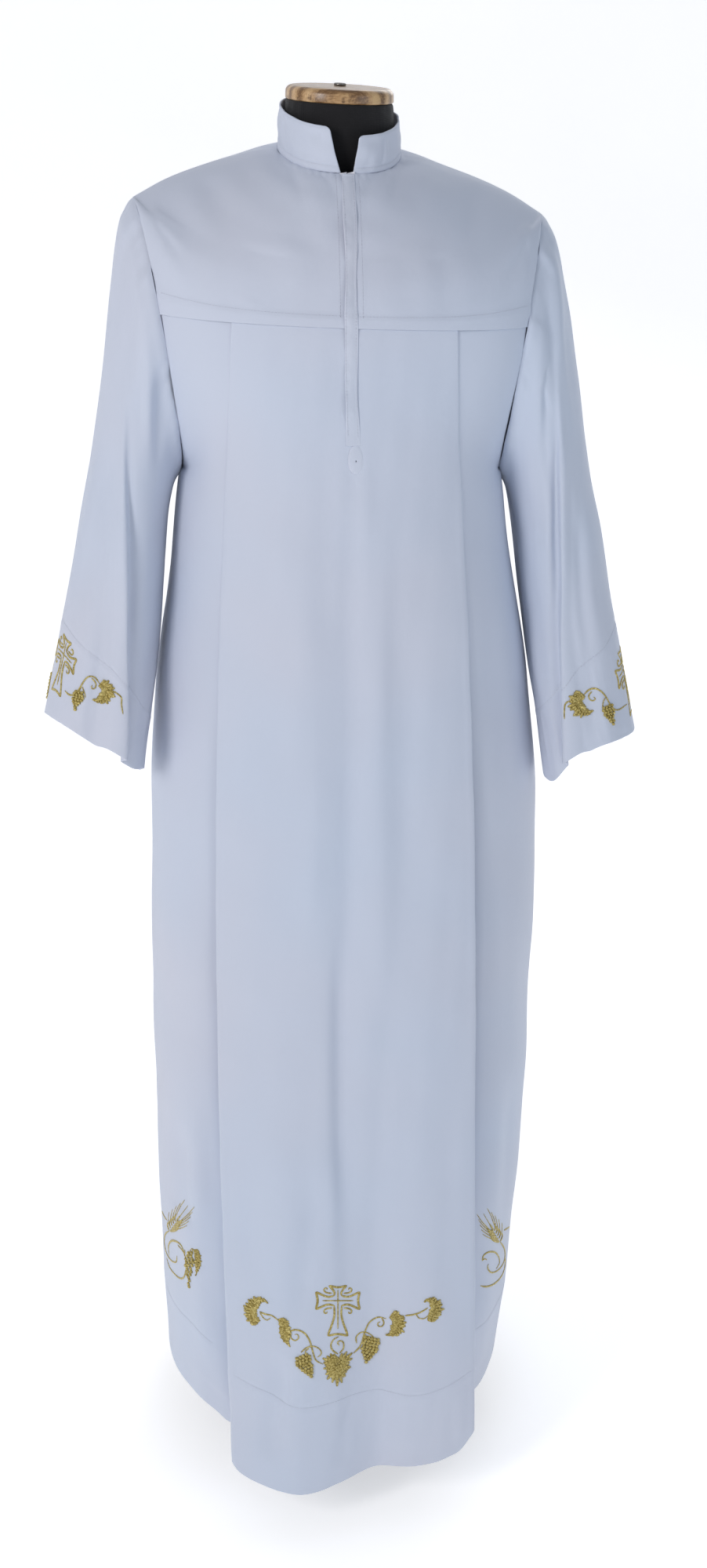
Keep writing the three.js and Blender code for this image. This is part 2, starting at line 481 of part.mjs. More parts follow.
const stand = turned([[0, 0], [BASE_R - 3, 0], [BASE_R, 3], [BASE_R, BASE_T - 4], [BASE_R - 4, BASE_T], [HUB_R + 6, BASE_T + 1],
  [HUB_R, BASE_T + 5], [HUB_R - 4, BASE_T + HUB_H - 2], [HUB_R - 7, BASE_T + HUB_H], [0, BASE_T + HUB_H]], 64);

// ---------------------------------------------------------------- scene graph
const group = new THREE.Group();
const white = () => new THREE.MeshStandardMaterial({ color: 0xdfe0ec, roughness: 0.62, metalness: 0 });
const add = (parent, name, geometry, material) => {
  const mesh = new THREE.Mesh(geometry, material);
  mesh.name = name;
  parent.add(mesh);
  return mesh;
};
const alb = new THREE.Group();
group.add(alb);
add(alb, 'collar', collar, white());
add(alb, 'yoke_left', yoke(-1), white());
add(alb, 'yoke_right', yoke(1), white());
add(alb, 'front_lower', geometryFrom(lower), white());
add(alb, 'back', back, white());
add(alb, 'sleeve_left', sleeve(-1), white());
add(alb, 'sleeve_right', sleeve(1), white());
add(alb, 'zip', zip, new THREE.MeshStandardMaterial({ color: 0xd6d6e0, roughness: 0.5, metalness: 0 }));
add(alb, 'zip_fly', fly, white());
const form = new THREE.Group();
group.add(form);
add(form, 'form_torso', torso, new THREE.MeshStandardMaterial({ color: 0x0c0c0e, roughness: 0.95, metalness: 0 }));
const capGroup = new THREE.Group();
capGroup.position.set(0, 0, CAP_BOTTOM_Z);
capGroup.rotation.y = Math.atan(SHOULDER_TILT);
form.add(capGroup);
cap.translate(0, 0, -CAP_BOTTOM_Z);
stud.translate(0, 0, -CAP_BOTTOM_Z);
add(capGroup, 'neck_cap', cap, new THREE.MeshStandardMaterial({ color: 0xa8763f, roughness: 0.55, metalness: 0 }));
add(capGroup, 'cap_stud', stud, new THREE.MeshStandardMaterial({ color: 0x8f8a82, roughness: 0.35, metalness: 0.9 }));
add(form, 'stand_pole', pole, new THREE.MeshStandardMaterial({ color: 0x2a2a2c, roughness: 0.45, metalness: 0.8 }));
add(form, 'stand_base', stand, new THREE.MeshStandardMaterial({ color: 0x1d1d20, roughness: 0.6, metalness: 0.3 }));

export default group;
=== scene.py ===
import math

import bpy
import numpy as np
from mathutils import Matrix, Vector
from mathutils.bvhtree import BVHTree


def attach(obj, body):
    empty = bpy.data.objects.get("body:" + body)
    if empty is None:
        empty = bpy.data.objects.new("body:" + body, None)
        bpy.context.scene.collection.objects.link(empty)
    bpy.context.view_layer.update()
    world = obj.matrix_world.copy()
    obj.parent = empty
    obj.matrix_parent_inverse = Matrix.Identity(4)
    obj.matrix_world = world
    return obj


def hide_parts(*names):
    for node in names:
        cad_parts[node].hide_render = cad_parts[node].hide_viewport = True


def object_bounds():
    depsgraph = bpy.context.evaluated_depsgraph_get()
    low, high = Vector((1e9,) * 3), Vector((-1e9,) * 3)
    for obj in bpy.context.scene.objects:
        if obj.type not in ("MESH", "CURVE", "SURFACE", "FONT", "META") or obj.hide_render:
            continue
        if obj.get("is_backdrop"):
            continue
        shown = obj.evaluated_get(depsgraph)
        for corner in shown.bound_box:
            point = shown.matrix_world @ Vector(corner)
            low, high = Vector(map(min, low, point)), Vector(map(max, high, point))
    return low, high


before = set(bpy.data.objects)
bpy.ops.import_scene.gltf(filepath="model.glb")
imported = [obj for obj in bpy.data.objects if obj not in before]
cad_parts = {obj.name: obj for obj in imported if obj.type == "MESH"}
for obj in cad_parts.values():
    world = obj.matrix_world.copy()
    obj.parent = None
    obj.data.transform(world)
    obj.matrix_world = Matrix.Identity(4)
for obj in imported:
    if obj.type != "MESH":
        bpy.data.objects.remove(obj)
cad_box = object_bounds()
scene = bpy.context.scene

# ---------------------------------------------------------------- camera
camera = bpy.data.objects.new("camera", bpy.data.cameras.new("camera"))
scene.collection.objects.link(camera)
scene.camera = camera
camera.location = (-0.19423, -2.39217, 1.774)
camera.rotation_mode = "QUATERNION"
camera.rotation_quaternion = Vector((0.08121, 0.92827, -0.36293)).to_track_quat("-Z", "Y")
camera.data.sensor_width, camera.data.lens = 36, 49.86
camera.data.clip_start, camera.data.clip_end = 0.05, 50

# ---------------------------------------------------------------- sizes, in millimetres
WALL = 0.9                     # the cloth with its turnings; the solid's wall is 1.2
HEM_Z, ARMPIT_Z = 60.0, 1222.0
SHOULDER_TILT = 0.05
SLIT_X, SLIT_W, ZIP_END_Z = 2.0, 4.0, 1286.0
V_YOKE = 2 + 5 / 12


class Table:
    """A short table with named columns, read with a monotone cubic through its rows."""

    def __init__(self, cols, rows):
        names = cols.split()
        self.rows = [dict(zip(names, r)) for r in rows]
        self.c = {n: np.array([r[i] for r in rows], float) for i, n in enumerate(names)}
        self.x = self.c[names[0]]
        self.m = {}
        h = np.diff(self.x)
        for n, y in self.c.items():
            d = np.diff(y) / np.where(h == 0, 1, h)
            m = np.zeros(len(y))
            if len(y) > 1:
                m[0], m[-1] = d[0], d[-1]
            for k in range(1, len(y) - 1):
                if d[k - 1] * d[k] > 0:
                    w1, w2 = 2 * h[k] + h[k - 1], h[k] + 2 * h[k - 1]
                    m[k] = (w1 + w2) / (w1 / d[k - 1] + w2 / d[k])
            self.m[n] = m

    def __call__(self, col, x):
        x = np.clip(np.asarray(x, float), self.x[0], self.x[-1])
        i = np.clip(np.searchsorted(self.x, x, side="right") - 1, 0, len(self.x) - 2)
        h = self.x[i + 1] - self.x[i]
        t = (x - self.x[i]) / h
        y, m = self.c[col], self.m[col]
        t2, t3 = t * t, t * t * t
        return (2 * t3 - 3 * t2 + 1) * y[i] + (t3 - 2 * t2 + t) * h * m[i] + (-2 * t3 + 3 * t2) * y[i + 1] + (t3 - t2) * h * m[i + 1]


EDGE = Table("v x y z", [
    (0.00, 65, 4, 1562), (0.35, 86, 5, 1560), (0.80, 112, 6, 1553), (1.20, 147, 6, 1542), (1.60, 184, 6, 1527), (2.00, 221, 6, 1506)])
SIDE = Table("z x y", [
    (60, 213, 4), (130, 217, 4), (200, 221, 4), (400, 227, 4), (640, 229, 4), (840, 226, 4), (980, 214, 5), (1110, 194, 6), (1222, 178, 6)])
FRONT = Table("v y z", [
    (0.00, -70, 1547), (0.35, -79, 1537), (0.80, -92, 1521), (1.20, -102, 1503), (1.60, -112, 1481),
    (2.00, -119, 1460), (2.25, -127, 1432), (2.50, -132, 1380), (2.75, -135, 1310), (3.00, -138, 1225)])
BACK = Table("v y z", [
    (0.00, 66, 1572), (0.35, 78, 1565), (0.80, 94, 1550), (1.20, 107, 1530), (1.60, 117, 1503),
    (2.00, 124, 1470), (2.25, 128, 1438), (2.50, 131, 1382), (2.75, 131, 1311), (3.00, 130, 1225)])
WRAP = Table("v k n", [
    (0.0, 1.0, 2.0), (1.0, 1.0, 2.0), (1.6, 0.98, 2.1), (2.0, 0.95, 2.2), (2.3, 0.90, 2.25), (2.6, 0.90, 2.3), (2.85, 0.96, 2.35), (3.0, 1.0, 2.4)])
SKIRT = Table("z fy by nl nr nb shift", [
    (60, 262, 232, 2.2, 1.9, 2.0, -13), (200, 248, 220, 2.3, 2.1, 2.05, -9), (400, 228, 202, 2.4, 2.3, 2.15, -4),
    (640, 202, 180, 2.4, 2.4, 2.2, 0), (840, 181, 163, 2.4, 2.4, 2.2, 3), (1050, 156, 144, 2.4, 2.4, 2.25, 1), (1222, 138, 130, 2.4, 2.4, 2.3, 0)])
HEM = Table("a z", [(0, 70), (0.6, 73), (1.0, 78), (1.5, 80), (2.0, 76)])
PANEL = Table("z xl xr el ec er tuck r", [
    (60, -153, 139, 54, 12, 72, 44, 2.2), (200, -155, 139, 43, 11, 45, 42, 1.9), (400, -157, 138, 30, 9, 25, 38, 1.5),
    (640, -156, 138, 15, 6, 13, 34, 1.1), (840, -152, 136, 7, 3, 6, 30, 0.9), (1050, -143, 130, 2, 1, 2, 26, 0.7),
    (1222, -132, 122, 0, 0, 0, 24, 0.6), (1330, -126, 117, 0, 0, 0, 22, 0.6), (1403, -122, 114, 0, 0, 0, 20, 0.6)])
PANEL_HEM = Table("x dz", [(-156, 11), (-120, 1), (-72, -6), (-20, 2), (17, 7), (80, 9), (139, 17)])
PANEL_FOLDS = Table("x w out top", [(-72, 44, 12, 900), (20, 24, -8, 760), (82, 34, 4, 620)])
SIDE_FOLDS = Table("u w out top", [(-0.97, 0.05, -5, 700), (-0.82, 0.05, 5, 560), (0.90, 0.06, -5, 640)])
BACK_FOLDS = Table("u w out top", [
    (-0.80, 0.11, 10, 1120), (-0.62, 0.08, -7, 900), (-0.40, 0.12, 15, 1330), (-0.14, 0.10, -9, 1000),
    (0.06, 0.09, 9, 980), (0.32, 0.13, 17, 1300), (0.55, 0.08, -8, 900), (0.74, 0.11, 11, 1180)])
SLEEVES = {
    -1: Table("s tx ty tz ux uy uz fx fy fz bx by bz", [
        (0.00, 221, 6, 1506, 178, 6, 1222, -9, -80, 0, -3, 84, 0), (0.06, 236, 4, 1482, 189, 2, 1198, -7, -78, 2, -2, 82, -1),
        (0.20, 248, 0, 1408, 197, -6, 1150, -4, -74, 6, 0, 78, -3), (0.40, 267, -6, 1286, 204, -24, 1074, 0, -70, 12, 2, 74, -6),
        (0.60, 290, -13, 1172, 212, -44, 1009, 4, -68, 20, 4, 71, -8), (0.80, 314, -21, 1060, 222, -66, 950, 8, -68, 28, 6, 68, -10),
        (1.00, 338, -30, 948, 232, -84, 890, 12, -66, 34, 8, 66, -12)]),
    1: Table("s tx ty tz ux uy uz fx fy fz bx by bz", [
        (0.00, 221, 6, 1506, 178, 6, 1222, -9, -80, 0, -3, 84, 0), (0.06, 236, 4, 1482, 189, 2, 1198, -7, -78, 2, -2, 82, -1),
        (0.20, 250, 0, 1405, 197, -6, 1150, -4, -74, 5, 0, 78, -3), (0.40, 270, -6, 1283, 204, -24, 1074, 0, -70, 9, 2, 74, -6),
        (0.60, 288, -13, 1168, 212, -44, 1005, 4, -68, 13, 4, 71, -8), (0.80, 307, -21, 1050, 220, -66, 944, 8, -68, 18, 6, 68, -10),
        (1.00, 329, -30, 934, 228, -86, 881, 12, -66, 22, 8, 66, -12)]),
}
SLEEVE_FOLDS = {
    -1: Table("deg w out shift start", [
        (131, 7.5, 13, 15, 0.22), (146, 11, -6, 0, 0.22), (96, 13, -5, 0, 0.30), (40, 16, 4, 0, 0.35),
        (-60, 20, 7, 0, 0.35), (-100, 18, -6, 0, 0.4), (-140, 18, 5, 0, 0.4)]),
    1: Table("deg w out shift start", [
        (122, 7, 12, 13, 0.12), (136, 10, -8, 0, 0.12), (92, 12, -5, 0, 0.28), (44, 16, 5, 0, 0.35),
        (-70, 20, 7, 0, 0.3), (-108, 16, -6, 0, 0.4), (-145, 18, 5, 0, 0.45)]),
}
# the main fold of each sleeve hangs plumb, so it runs round the sleeve towards the cuff
FOLD_LINE = {-1: Table("s deg", [(0, 52), (0.2, 61), (0.33, 70), (0.45, 84), (0.6, 101), (0.75, 114), (0.9, 123), (1, 127)]),
             1: Table("s deg", [(0, 50), (0.15, 60), (0.25, 69), (0.34, 79), (0.5, 97), (0.65, 111), (0.8, 120), (0.95, 128), (1, 131)])}
COLLAR = Table("h x fy by", [(0, 65, -70, 66), (22, 63.5, -69.5, 64), (45, 62.5, -68.5, 61.5)])
COLLAR_HEIGHT = 45.0
NOTCH = Table("t l r", [(0.0, -4.5, 8.5), (0.5, -11.0, 12.5), (1.0, -16.0, 16.0)])


def smooth(a, b, x):
    t = np.clip((np.asarray(x, float) - a) / (b - a), 0, 1)
    return t * t * (3 - 2 * t)


def bump(x, c, w):
    return np.exp(-(((x - c) / w) ** 2))


def unit(a):
    return a / np.maximum(np.linalg.norm(a, axis=-1, keepdims=True), 1e-9)


def tilt(p):
    """The +X shoulder hangs a little lower."""
    p = np.array(p, float)
    p[..., 2] -= SHOULDER_TILT * p[..., 0] * smooth(1000, 1450, p[..., 2])
    return p


def stack(x, y, z):
    x, y, z = np.broadcast_arrays(x, y, z)
    return np.stack([x, y, z], -1).astype(float)


def sleeve_ring(s, phi, side):
    """s 0 armhole to 1 cuff; phi 0 top, pi/2 front, pi under, -pi/2 back."""
    t = SLEEVES[side]
    c, sn = np.cos(phi), np.sin(phi)
    out = []
    for i, k in enumerate("xyz"):
        T, U = t("t" + k, s), t("u" + k, s)
        B = np.where(sn >= 0, t("f" + k, s), t("b" + k, s))
        q = (T + U) / 2 + (T - U) / 2 * c + B * np.abs(sn)
        out.append(q * side if i == 0 else q)
    return stack(*out)


def across(xe, ye, yc, ze, zc, k, n, u):
    def h(q):
        return np.maximum(0, 1 - np.abs(q) ** n) ** (1 / n)
    w = (h(k * u) - h(k)) / (1 - h(k))
    return stack(xe * u, ye + (yc - ye) * w, ze + (zc - ze) * (0.5 * w * w * (3 - 2 * w) + 0.5 * w))


def u_of(a, k=1.0, n=2.2):
    """Steps of u that crowd towards the seams, where a row turns."""
    m = np.arcsin(np.minimum(1, k ** (n / 2)))
    s = np.sin(a * m)
    return np.sign(s) * np.abs(s) ** (2 / n) / k


def upper(v, u, front):
    line = FRONT if front else BACK
    ring = sleeve_ring(0.0, np.pi * (np.clip(v, 2, 3) - 2) * (1 if front else -1), 1)
    e = [np.where(v <= 2, EDGE(c, v), ring[..., i]) for i, c in enumerate("xyz")]
    return across(e[0], e[1], line("y", v), e[2], line("z", v), WRAP("k", v), WRAP("n", v), u)


def skirt(z, u, front):
    n = np.where(u < 0, SKIRT("nl", z), SKIRT("nr", z)) if front else SKIRT("nb", z)
    p = across(SIDE("x", z), SIDE("y", z), -SKIRT("fy", z) if front else SKIRT("by", z), z, z, 1.0, n, u)
    p[..., 0] += SKIRT("shift", z)
    around = np.abs(u) ** 1.5 if front else 2 - np.abs(u) ** 1.5
    p[..., 2] += (HEM("z", around) - HEM_Z) * (1 - smooth(60, 900, z))
    if front:
        p[..., 2] += 20 * bump(u, -0.84, 0.13) * (1 - smooth(60, 460, z))
    for f in (SIDE_FOLDS if front else BACK_FOLDS).rows:
        d = f["out"] * bump(u, f["u"], f["w"]) * (1 - smooth(HEM_Z, f["top"], z)) * (1 - np.abs(u) ** 8)
        p[..., 1] += -d if front else d
    return p


def height_of(v):
    return ARMPIT_Z + (HEM_Z - ARMPIT_Z) * (v - 3)


def v_of(z):
    return 3 + (ARMPIT_Z - z) / (ARMPIT_Z - HEM_Z)


def base(v, u, front):
    v, u = np.broadcast_arrays(np.asarray(v, float), np.asarray(u, float))
    a = upper(np.minimum(v, 3), u, front)
    b = skirt(height_of(np.maximum(v, 3)), u, front)
    return np.where((v <= 3)[..., None], a, b)


def row_z(v):
    """Nominal height of a front row, at its middle."""
    return np.where(v <= 3, FRONT("z", np.minimum(v, 3)), height_of(np.maximum(v, 3)))


def u_at(v, x):
    z = row_z(v)
    sh = np.where(v > 3, SKIRT("shift", z), 0.0)
    xe = base(v, np.ones_like(v), True)[..., 0] - sh
    return (x - sh) / xe


def topness(z):
    """1 where the pleats are pressed flat under the yoke, 0 where the panel hangs free in front."""
    return smooth(1080, 1390, z)


def panel_off(x, z):
    r, xl, xr = PANEL("r", z), PANEL("xl", z), PANEL("xr", z)
    t = (x - xl) / (xr - xl)
    c = np.sin(np.pi * np.clip(t, 0, 1))
    d = 4 * r * (1 - topness(z)) + (PANEL("el", z) * (1 - t) + PANEL("er", z) * t) * (1 - c) + PANEL("ec", z) * c
    for f in PANEL_FOLDS.rows:
        d = d + f["out"] * bump(x, f["x"], f["w"]) * (1 - smooth(HEM_Z, f["top"], z))
    return d


def front_point(v, x, d, share=1.0):
    """A point of the front at x, moved out by d; share: how much it follows the hem of the panel."""
    z = row_z(v)
    p = base(v, u_at(v, x), True)
    p[..., 1] -= d
    p[..., 2] += (PANEL_HEM("dz", x) - 10) * (1 - smooth(60, 800, z)) * share
    corner = 17 * smooth(108, 141, x) ** 2 + 7 * smooth(-140, -156, x) ** 2      # the corners of the hem are rounded
    p[..., 2] += corner * (1 - smooth(60, 190, z)) * share
    return p


def panel_point(x, z_row, lift=0.0):
    """The panel at x on the row of nominal height z_row, tilted, moved out by lift."""
    x, z_row = np.broadcast_arrays(np.asarray(x, float), np.asarray(z_row, float))
    v = v_row(z_row)

    def at(xx, vv):
        return tilt(front_point(vv, xx, panel_off(xx, row_z(vv))))
    p = at(x, v)
    if np.any(lift != 0):
        e = 1.0
        a, b = at(x + e, v) - at(x - e, v), at(x, v - 0.002) - at(x, v + 0.002)
        p = p + unit(np.cross(a, b)) * np.asarray(lift)[..., None]
    return p


def v_row(z):
    """Row number of a nominal height, above the armpit too."""
    z = np.asarray(z, float)
    vs = np.linspace(0, 3, 301)
    zs = FRONT("z", vs)
    return np.where(z < ARMPIT_Z + 3, v_of(np.minimum(z, ARMPIT_Z)), np.interp(-z, -zs, vs))


# ---------------------------------------------------------------- meshes
def normals(g, ring=False):
    h = np.concatenate([g, g[:, :1]], 1) if ring else g
    n = np.cross(h[1:, 1:] - h[:-1, :-1], h[:-1, 1:] - h[1:, :-1])
    out = np.zeros_like(h)
    for r in (slice(None, -1), slice(1, None)):
        for c in (slice(None, -1), slice(1, None)):
            out[r, c] += n
    if ring:
        out[:, 0] += out[:, -1]
        out = out[:, :-1]
    return unit(out)


def push(g, d, ring=False, flip=False):
    """The grid moved out along its own normals."""
    return g + normals(g, ring) * (-1 if flip else 1) * np.asarray(d)[..., None]


def noise(a, b, size, seed, waves=10):
    """Smooth uneven waves of about that size, the same each run."""
    rs, out = np.random.RandomState(seed), 0.0
    for _ in range(waves):
        q, f, p = rs.uniform(0, 2 * np.pi), rs.uniform(0.55, 1.7) / size, rs.uniform(0, 2 * np.pi)
        out = out + np.sin(2 * np.pi * f * (a * np.cos(q) + b * np.sin(q)) + p)
    return out / math.sqrt(waves / 2)


def curve(pts, n):
    """n points along a smooth line through pts, evenly spaced."""
    p = np.asarray(pts, float)
    if len(p) > 2:
        q = np.concatenate([[2 * p[0] - p[1]], p, [2 * p[-1] - p[-2]]])
        t = np.linspace(0, 1, 17)[:-1, None]
        seg = [0.5 * (2 * q[i] + (q[i + 1] - q[i - 1]) * t + (2 * q[i - 1] - 5 * q[i] + 4 * q[i + 1] - q[i + 2]) * t * t
                      + (3 * q[i] - q[i - 1] - 3 * q[i + 1] + q[i + 2]) * t ** 3) for i in range(1, len(q) - 2)]
        p = np.concatenate(seg + [q[-2:-1]])
    s = np.concatenate([[0], np.cumsum(np.linalg.norm(np.diff(p, axis=0), axis=1))])
    u = np.linspace(0, s[-1], n)
    return np.stack([np.interp(u, s, p[:, k]) for k in range(p.shape[1])], -1)


def crease(a, b, pts, w, out, w2=None, ends=(0.25, 0.25)):
    """A soft ridge (out > 0) or trough along pts in the plane (a, b); w and w2: half widths on its two sides."""
    p = curve(pts, 16)
    best, along, side = np.full(np.shape(a), 1e9), np.zeros(np.shape(a)), np.ones(np.shape(a))
    for i in range(len(p) - 1):
        d = p[i + 1] - p[i]
        t = np.clip(((a - p[i, 0]) * d[0] + (b - p[i, 1]) * d[1]) / max(d @ d, 1e-9), 0, 1)
        ea, eb = a - p[i, 0] - t * d[0], b - p[i, 1] - t * d[1]
        e = np.hypot(ea, eb)
        near = e < best
        best = np.where(near, e, best)
        along = np.where(near, (i + t) / (len(p) - 1), along)
        side = np.where(near, np.sign(d[0] * eb - d[1] * ea), side)
    width = np.where(side > 0, w, w if w2 is None else w2)
    taper = smooth(0, max(ends[0], 1e-3), along) * smooth(0, max(ends[1], 1e-3), 1 - along)
    return out * np.exp(-((best / width) ** 2)) * taper


def shell(grid, wall, ring=False, keep=None, flip=False):
    """A grid as a closed thin sheet: vertices, faces and the pairs of vertices along its rim."""
    R, C = grid.shape[:2]
    n = normals(grid, ring) * (-1 if flip else 1) * (np.broadcast_to(np.asarray(wall, float), (R, C)) / 2)[..., None]
    verts = np.concatenate([(grid + n).reshape(-1, 3), (grid - n).reshape(-1, 3)])
    i, j = np.meshgrid(np.arange(R - 1), np.arange(C if ring else C - 1), indexing="ij")
    k = (j + 1) % C
    q = np.stack([i * C + j, (i + 1) * C + j, (i + 1) * C + k, i * C + k], -1)
    q = (q if keep is None else q[keep]).reshape(-1, 4)
    if flip:
        q = q[:, ::-1]
    m = R * C
    e = np.concatenate([q[:, [0, 1]], q[:, [1, 2]], q[:, [2, 3]], q[:, [3, 0]]])
    rim = e[~np.isin(e[:, 1] * m + e[:, 0], e[:, 0] * m + e[:, 1])]
    faces = np.concatenate([q, q[:, ::-1] + m, np.stack([rim[:, 1], rim[:, 0], rim[:, 0] + m, rim[:, 1] + m], -1)])
    used, inverse = np.unique(faces, return_inverse=True)
    faces = inverse.reshape(faces.shape)
    place = np.full(2 * m, -1)
    place[used] = np.arange(len(used))
    sharp = np.concatenate([place[rim], place[rim + m]])
    return verts[used], [faces], sharp


def piece(name, verts, faces, material, slot, sharp=None, replaces=(), thread=None, smooth_faces=True):
    """A Blender object from points in millimetres, riding on the frame."""
    me = bpy.data.meshes.new(name)
    faces = [np.asarray(f, int) for f in (faces if isinstance(faces, list) else [faces])]
    v = (np.asarray(verts, float).reshape(-1, 3) / 1000).astype(np.float32)
    loops = np.concatenate([f.reshape(-1) for f in faces]).astype(np.int32)
    counts = np.concatenate([np.full(len(f), f.shape[1]) for f in faces])
    starts = np.concatenate([[0], np.cumsum(counts)[:-1]]).astype(np.int32)
    me.vertices.add(len(v))
    me.loops.add(len(loops))
    me.polygons.add(len(counts))
    me.vertices.foreach_set("co", v.ravel())
    me.loops.foreach_set("vertex_index", loops)
    me.polygons.foreach_set("loop_start", starts)
    me.update(calc_edges=True)
    me.polygons.foreach_set("use_smooth", np.full(len(counts), smooth_faces))
    if sharp is not None and len(sharp):
        e = np.zeros(len(me.edges) * 2, np.int32)
        me.edges.foreach_get("vertices", e)
        e, s, m = np.sort(e.reshape(-1, 2), 1).astype(np.int64), np.sort(np.asarray(sharp), 1).astype(np.int64), len(v)
        flag = me.attributes.new("sharp_edge", "BOOLEAN", "EDGE")
        flag.data.foreach_set("value", np.isin(e[:, 0] * m + e[:, 1], s[:, 0] * m + s[:, 1]))
    if thread is not None:
        a = me.attributes.new("thread", "FLOAT_VECTOR", "POINT")
        a.data.foreach_set("vector", np.asarray(thread, np.float32).ravel())
    me.materials.append(material)
    ob = bpy.data.objects.new(name, me)
    scene.collection.objects.link(ob)
    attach(ob, "root")
    if replaces:
        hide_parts(*replaces)
    return ob


class Heap:
    """Many small closed shapes gathered into one mesh."""

    def __init__(self):
        self.v, self.f, self.t, self.n = [], {3: [], 4: []}, [], 0

    def add(self, verts, faces, thread=None):
        verts = np.asarray(verts, float).reshape(-1, 3)
        for f in faces:
            f = np.asarray(f, int)
            if len(f):
                self.f[f.shape[1]].append(f + self.n)
        self.v.append(verts)
        self.t.append(np.zeros((len(verts), 3)) if thread is None else np.broadcast_to(thread, (len(verts), 3)))
        self.n += len(verts)

    def object(self, name, material, slot, **more):
        faces = [np.concatenate(f) for f in self.f.values() if f]
        return piece(name, np.concatenate(self.v), faces, material, slot, thread=np.concatenate(self.t), **more)


def tube_faces(n, sides):
    """Faces of a tube of n rings with a point at each end."""
    i, j = np.meshgrid(np.arange(n - 1), np.arange(sides), indexing="ij")
    k = (j + 1) % sides
    quads = np.stack([i * sides + j, i * sides + k, (i + 1) * sides + k, (i + 1) * sides + j], -1).reshape(-1, 4)
    j = np.arange(sides)
    k = (j + 1) % sides
    a, b = n * sides, n * sides + 1
    caps = np.concatenate([np.stack([np.full(sides, a), k, j], -1), np.stack([np.full(sides, b), (n - 1) * sides + j, (n - 1) * sides + k], -1)])
    return quads, caps


def tube(path, up, wide, high, sides=6):
    """A closed tube along path with an oval section: wide across, high along `up`."""
    path, n = np.asarray(path, float), len(path)
    t = unit(np.gradient(path, axis=0))
    up = np.broadcast_to(np.asarray(up, float), (n, 3))
    across = unit(np.cross(t, up))
    up = np.cross(across, t)
    q = 2 * np.pi * np.arange(sides) / sides
    w = np.broadcast_to(np.asarray(wide, float) / 2, (n,))[:, None, None]
    h = np.broadcast_to(np.asarray(high, float) / 2, (n,))[:, None, None]
    ring = path[:, None] + across[:, None] * np.cos(q)[None, :, None] * w + up[:, None] * np.sin(q)[None, :, None] * h
    verts = np.concatenate([ring.reshape(-1, 3), path[:1] - t[:1] * w[0, 0] * 0.5, path[-1:] + t[-1:] * w[-1, 0] * 0.5])
    quads, caps = tube_faces(n, sides)
    return verts, [quads, caps]


# ---------------------------------------------------------------- materials
class Nodes:
    """A material's node tree, built by short calls. A value may be a number, a colour or another node's output."""

    def __init__(self, name):
        self.material = bpy.data.materials.new(name)
        self.material.use_nodes = True
        self.tree = self.material.node_tree
        self.shader = self.tree.nodes["Principled BSDF"]

    def plug(self, socket, value):
        if isinstance(value, bpy.types.NodeSocket):
            self.tree.links.new(value, socket)
        else:
            socket.default_value = value

    def node(self, kind, out=0, **inputs):
        n = self.tree.nodes.new(kind)
        for k, v in inputs.items():
            if k.startswith("_"):
                setattr(n, k[1:], v)
            else:
                self.plug(n.inputs[int(k[1:]) if k[0] == "i" and k[1:].isdigit() else k.replace("_", " ")], v)
        return n.outputs[out]

    def math(self, op, a, b=0.0, c=0.0):
        return self.node("ShaderNodeMath", _operation=op, i0=a, i1=b, i2=c)

    def place(self, scale=(1, 1, 1)):
        """Object coordinates, in metres."""
        return self.node("ShaderNodeVectorMath", _operation="MULTIPLY", i0=self.node("ShaderNodeTexCoord", 3), i1=scale)

    def noise(self, where, scale, detail=3.0, rough=0.5):
        return self.node("ShaderNodeTexNoise", 0, Vector=where, Scale=scale, Detail=detail, Roughness=rough)

    def ramp(self, value, stops):
        n = self.tree.nodes.new("ShaderNodeValToRGB")
        self.plug(n.inputs[0], value)
        e = n.color_ramp.elements
        while len(e) < len(stops):
            e.new(0.5)
        for x, (p, c) in zip(e, stops):
            x.position, x.color = p, (*c, 1)
        return n.outputs[0]

    def mix(self, share, a, b):
        n = self.tree.nodes.new("ShaderNodeMix")
        n.data_type = "RGBA"
        self.plug(n.inputs[0], share)
        for s, v in ((n.inputs[6], a), (n.inputs[7], b)):
            self.plug(s, v if isinstance(v, bpy.types.NodeSocket) else (*v, 1))
        return n.outputs[2]

    def bump(self, height, strength, distance, below=None):
        n = self.tree.nodes.new("ShaderNodeBump")
        self.plug(n.inputs["Height"], height)
        n.inputs["Strength"].default_value, n.inputs["Distance"].default_value = strength, distance
        if below is not None:
            self.plug(n.inputs["Normal"], below)
        return n.outputs[0]

    def set(self, **values):
        for k, v in values.items():
            self.plug(self.shader.inputs[k.replace("_", " ")], v)
        return self.material


def weave(m, pitch, skew=0.35):
    """A twill: fine slanted ribs crossed by the warp, from object coordinates in metres."""
    x = m.node("ShaderNodeSeparateXYZ", 0, i0=m.node("ShaderNodeTexCoord", 3))
    z = x.node.outputs[2]
    y = x.node.outputs[1]
    # across: x where the cloth faces the front or the back, y where it faces the side
    facing = m.node("ShaderNodeSeparateXYZ", 0, i0=m.node("ShaderNodeNewGeometry", 1))
    side = m.math("GREATER_THAN", m.math("ABSOLUTE", facing), 0.72)
    a = m.math("ADD", m.math("MULTIPLY", x, m.math("SUBTRACT", 1.0, side)), m.math("MULTIPLY", y, side))
    f = 2 * math.pi / pitch
    rib = m.math("SINE", m.math("MULTIPLY", m.math("ADD", a, m.math("MULTIPLY", z, skew)), f))
    warp = m.math("SINE", m.math("MULTIPLY", z, f * 0.9))
    return m.math("ADD", rib, m.math("MULTIPLY", warp, 0.45))


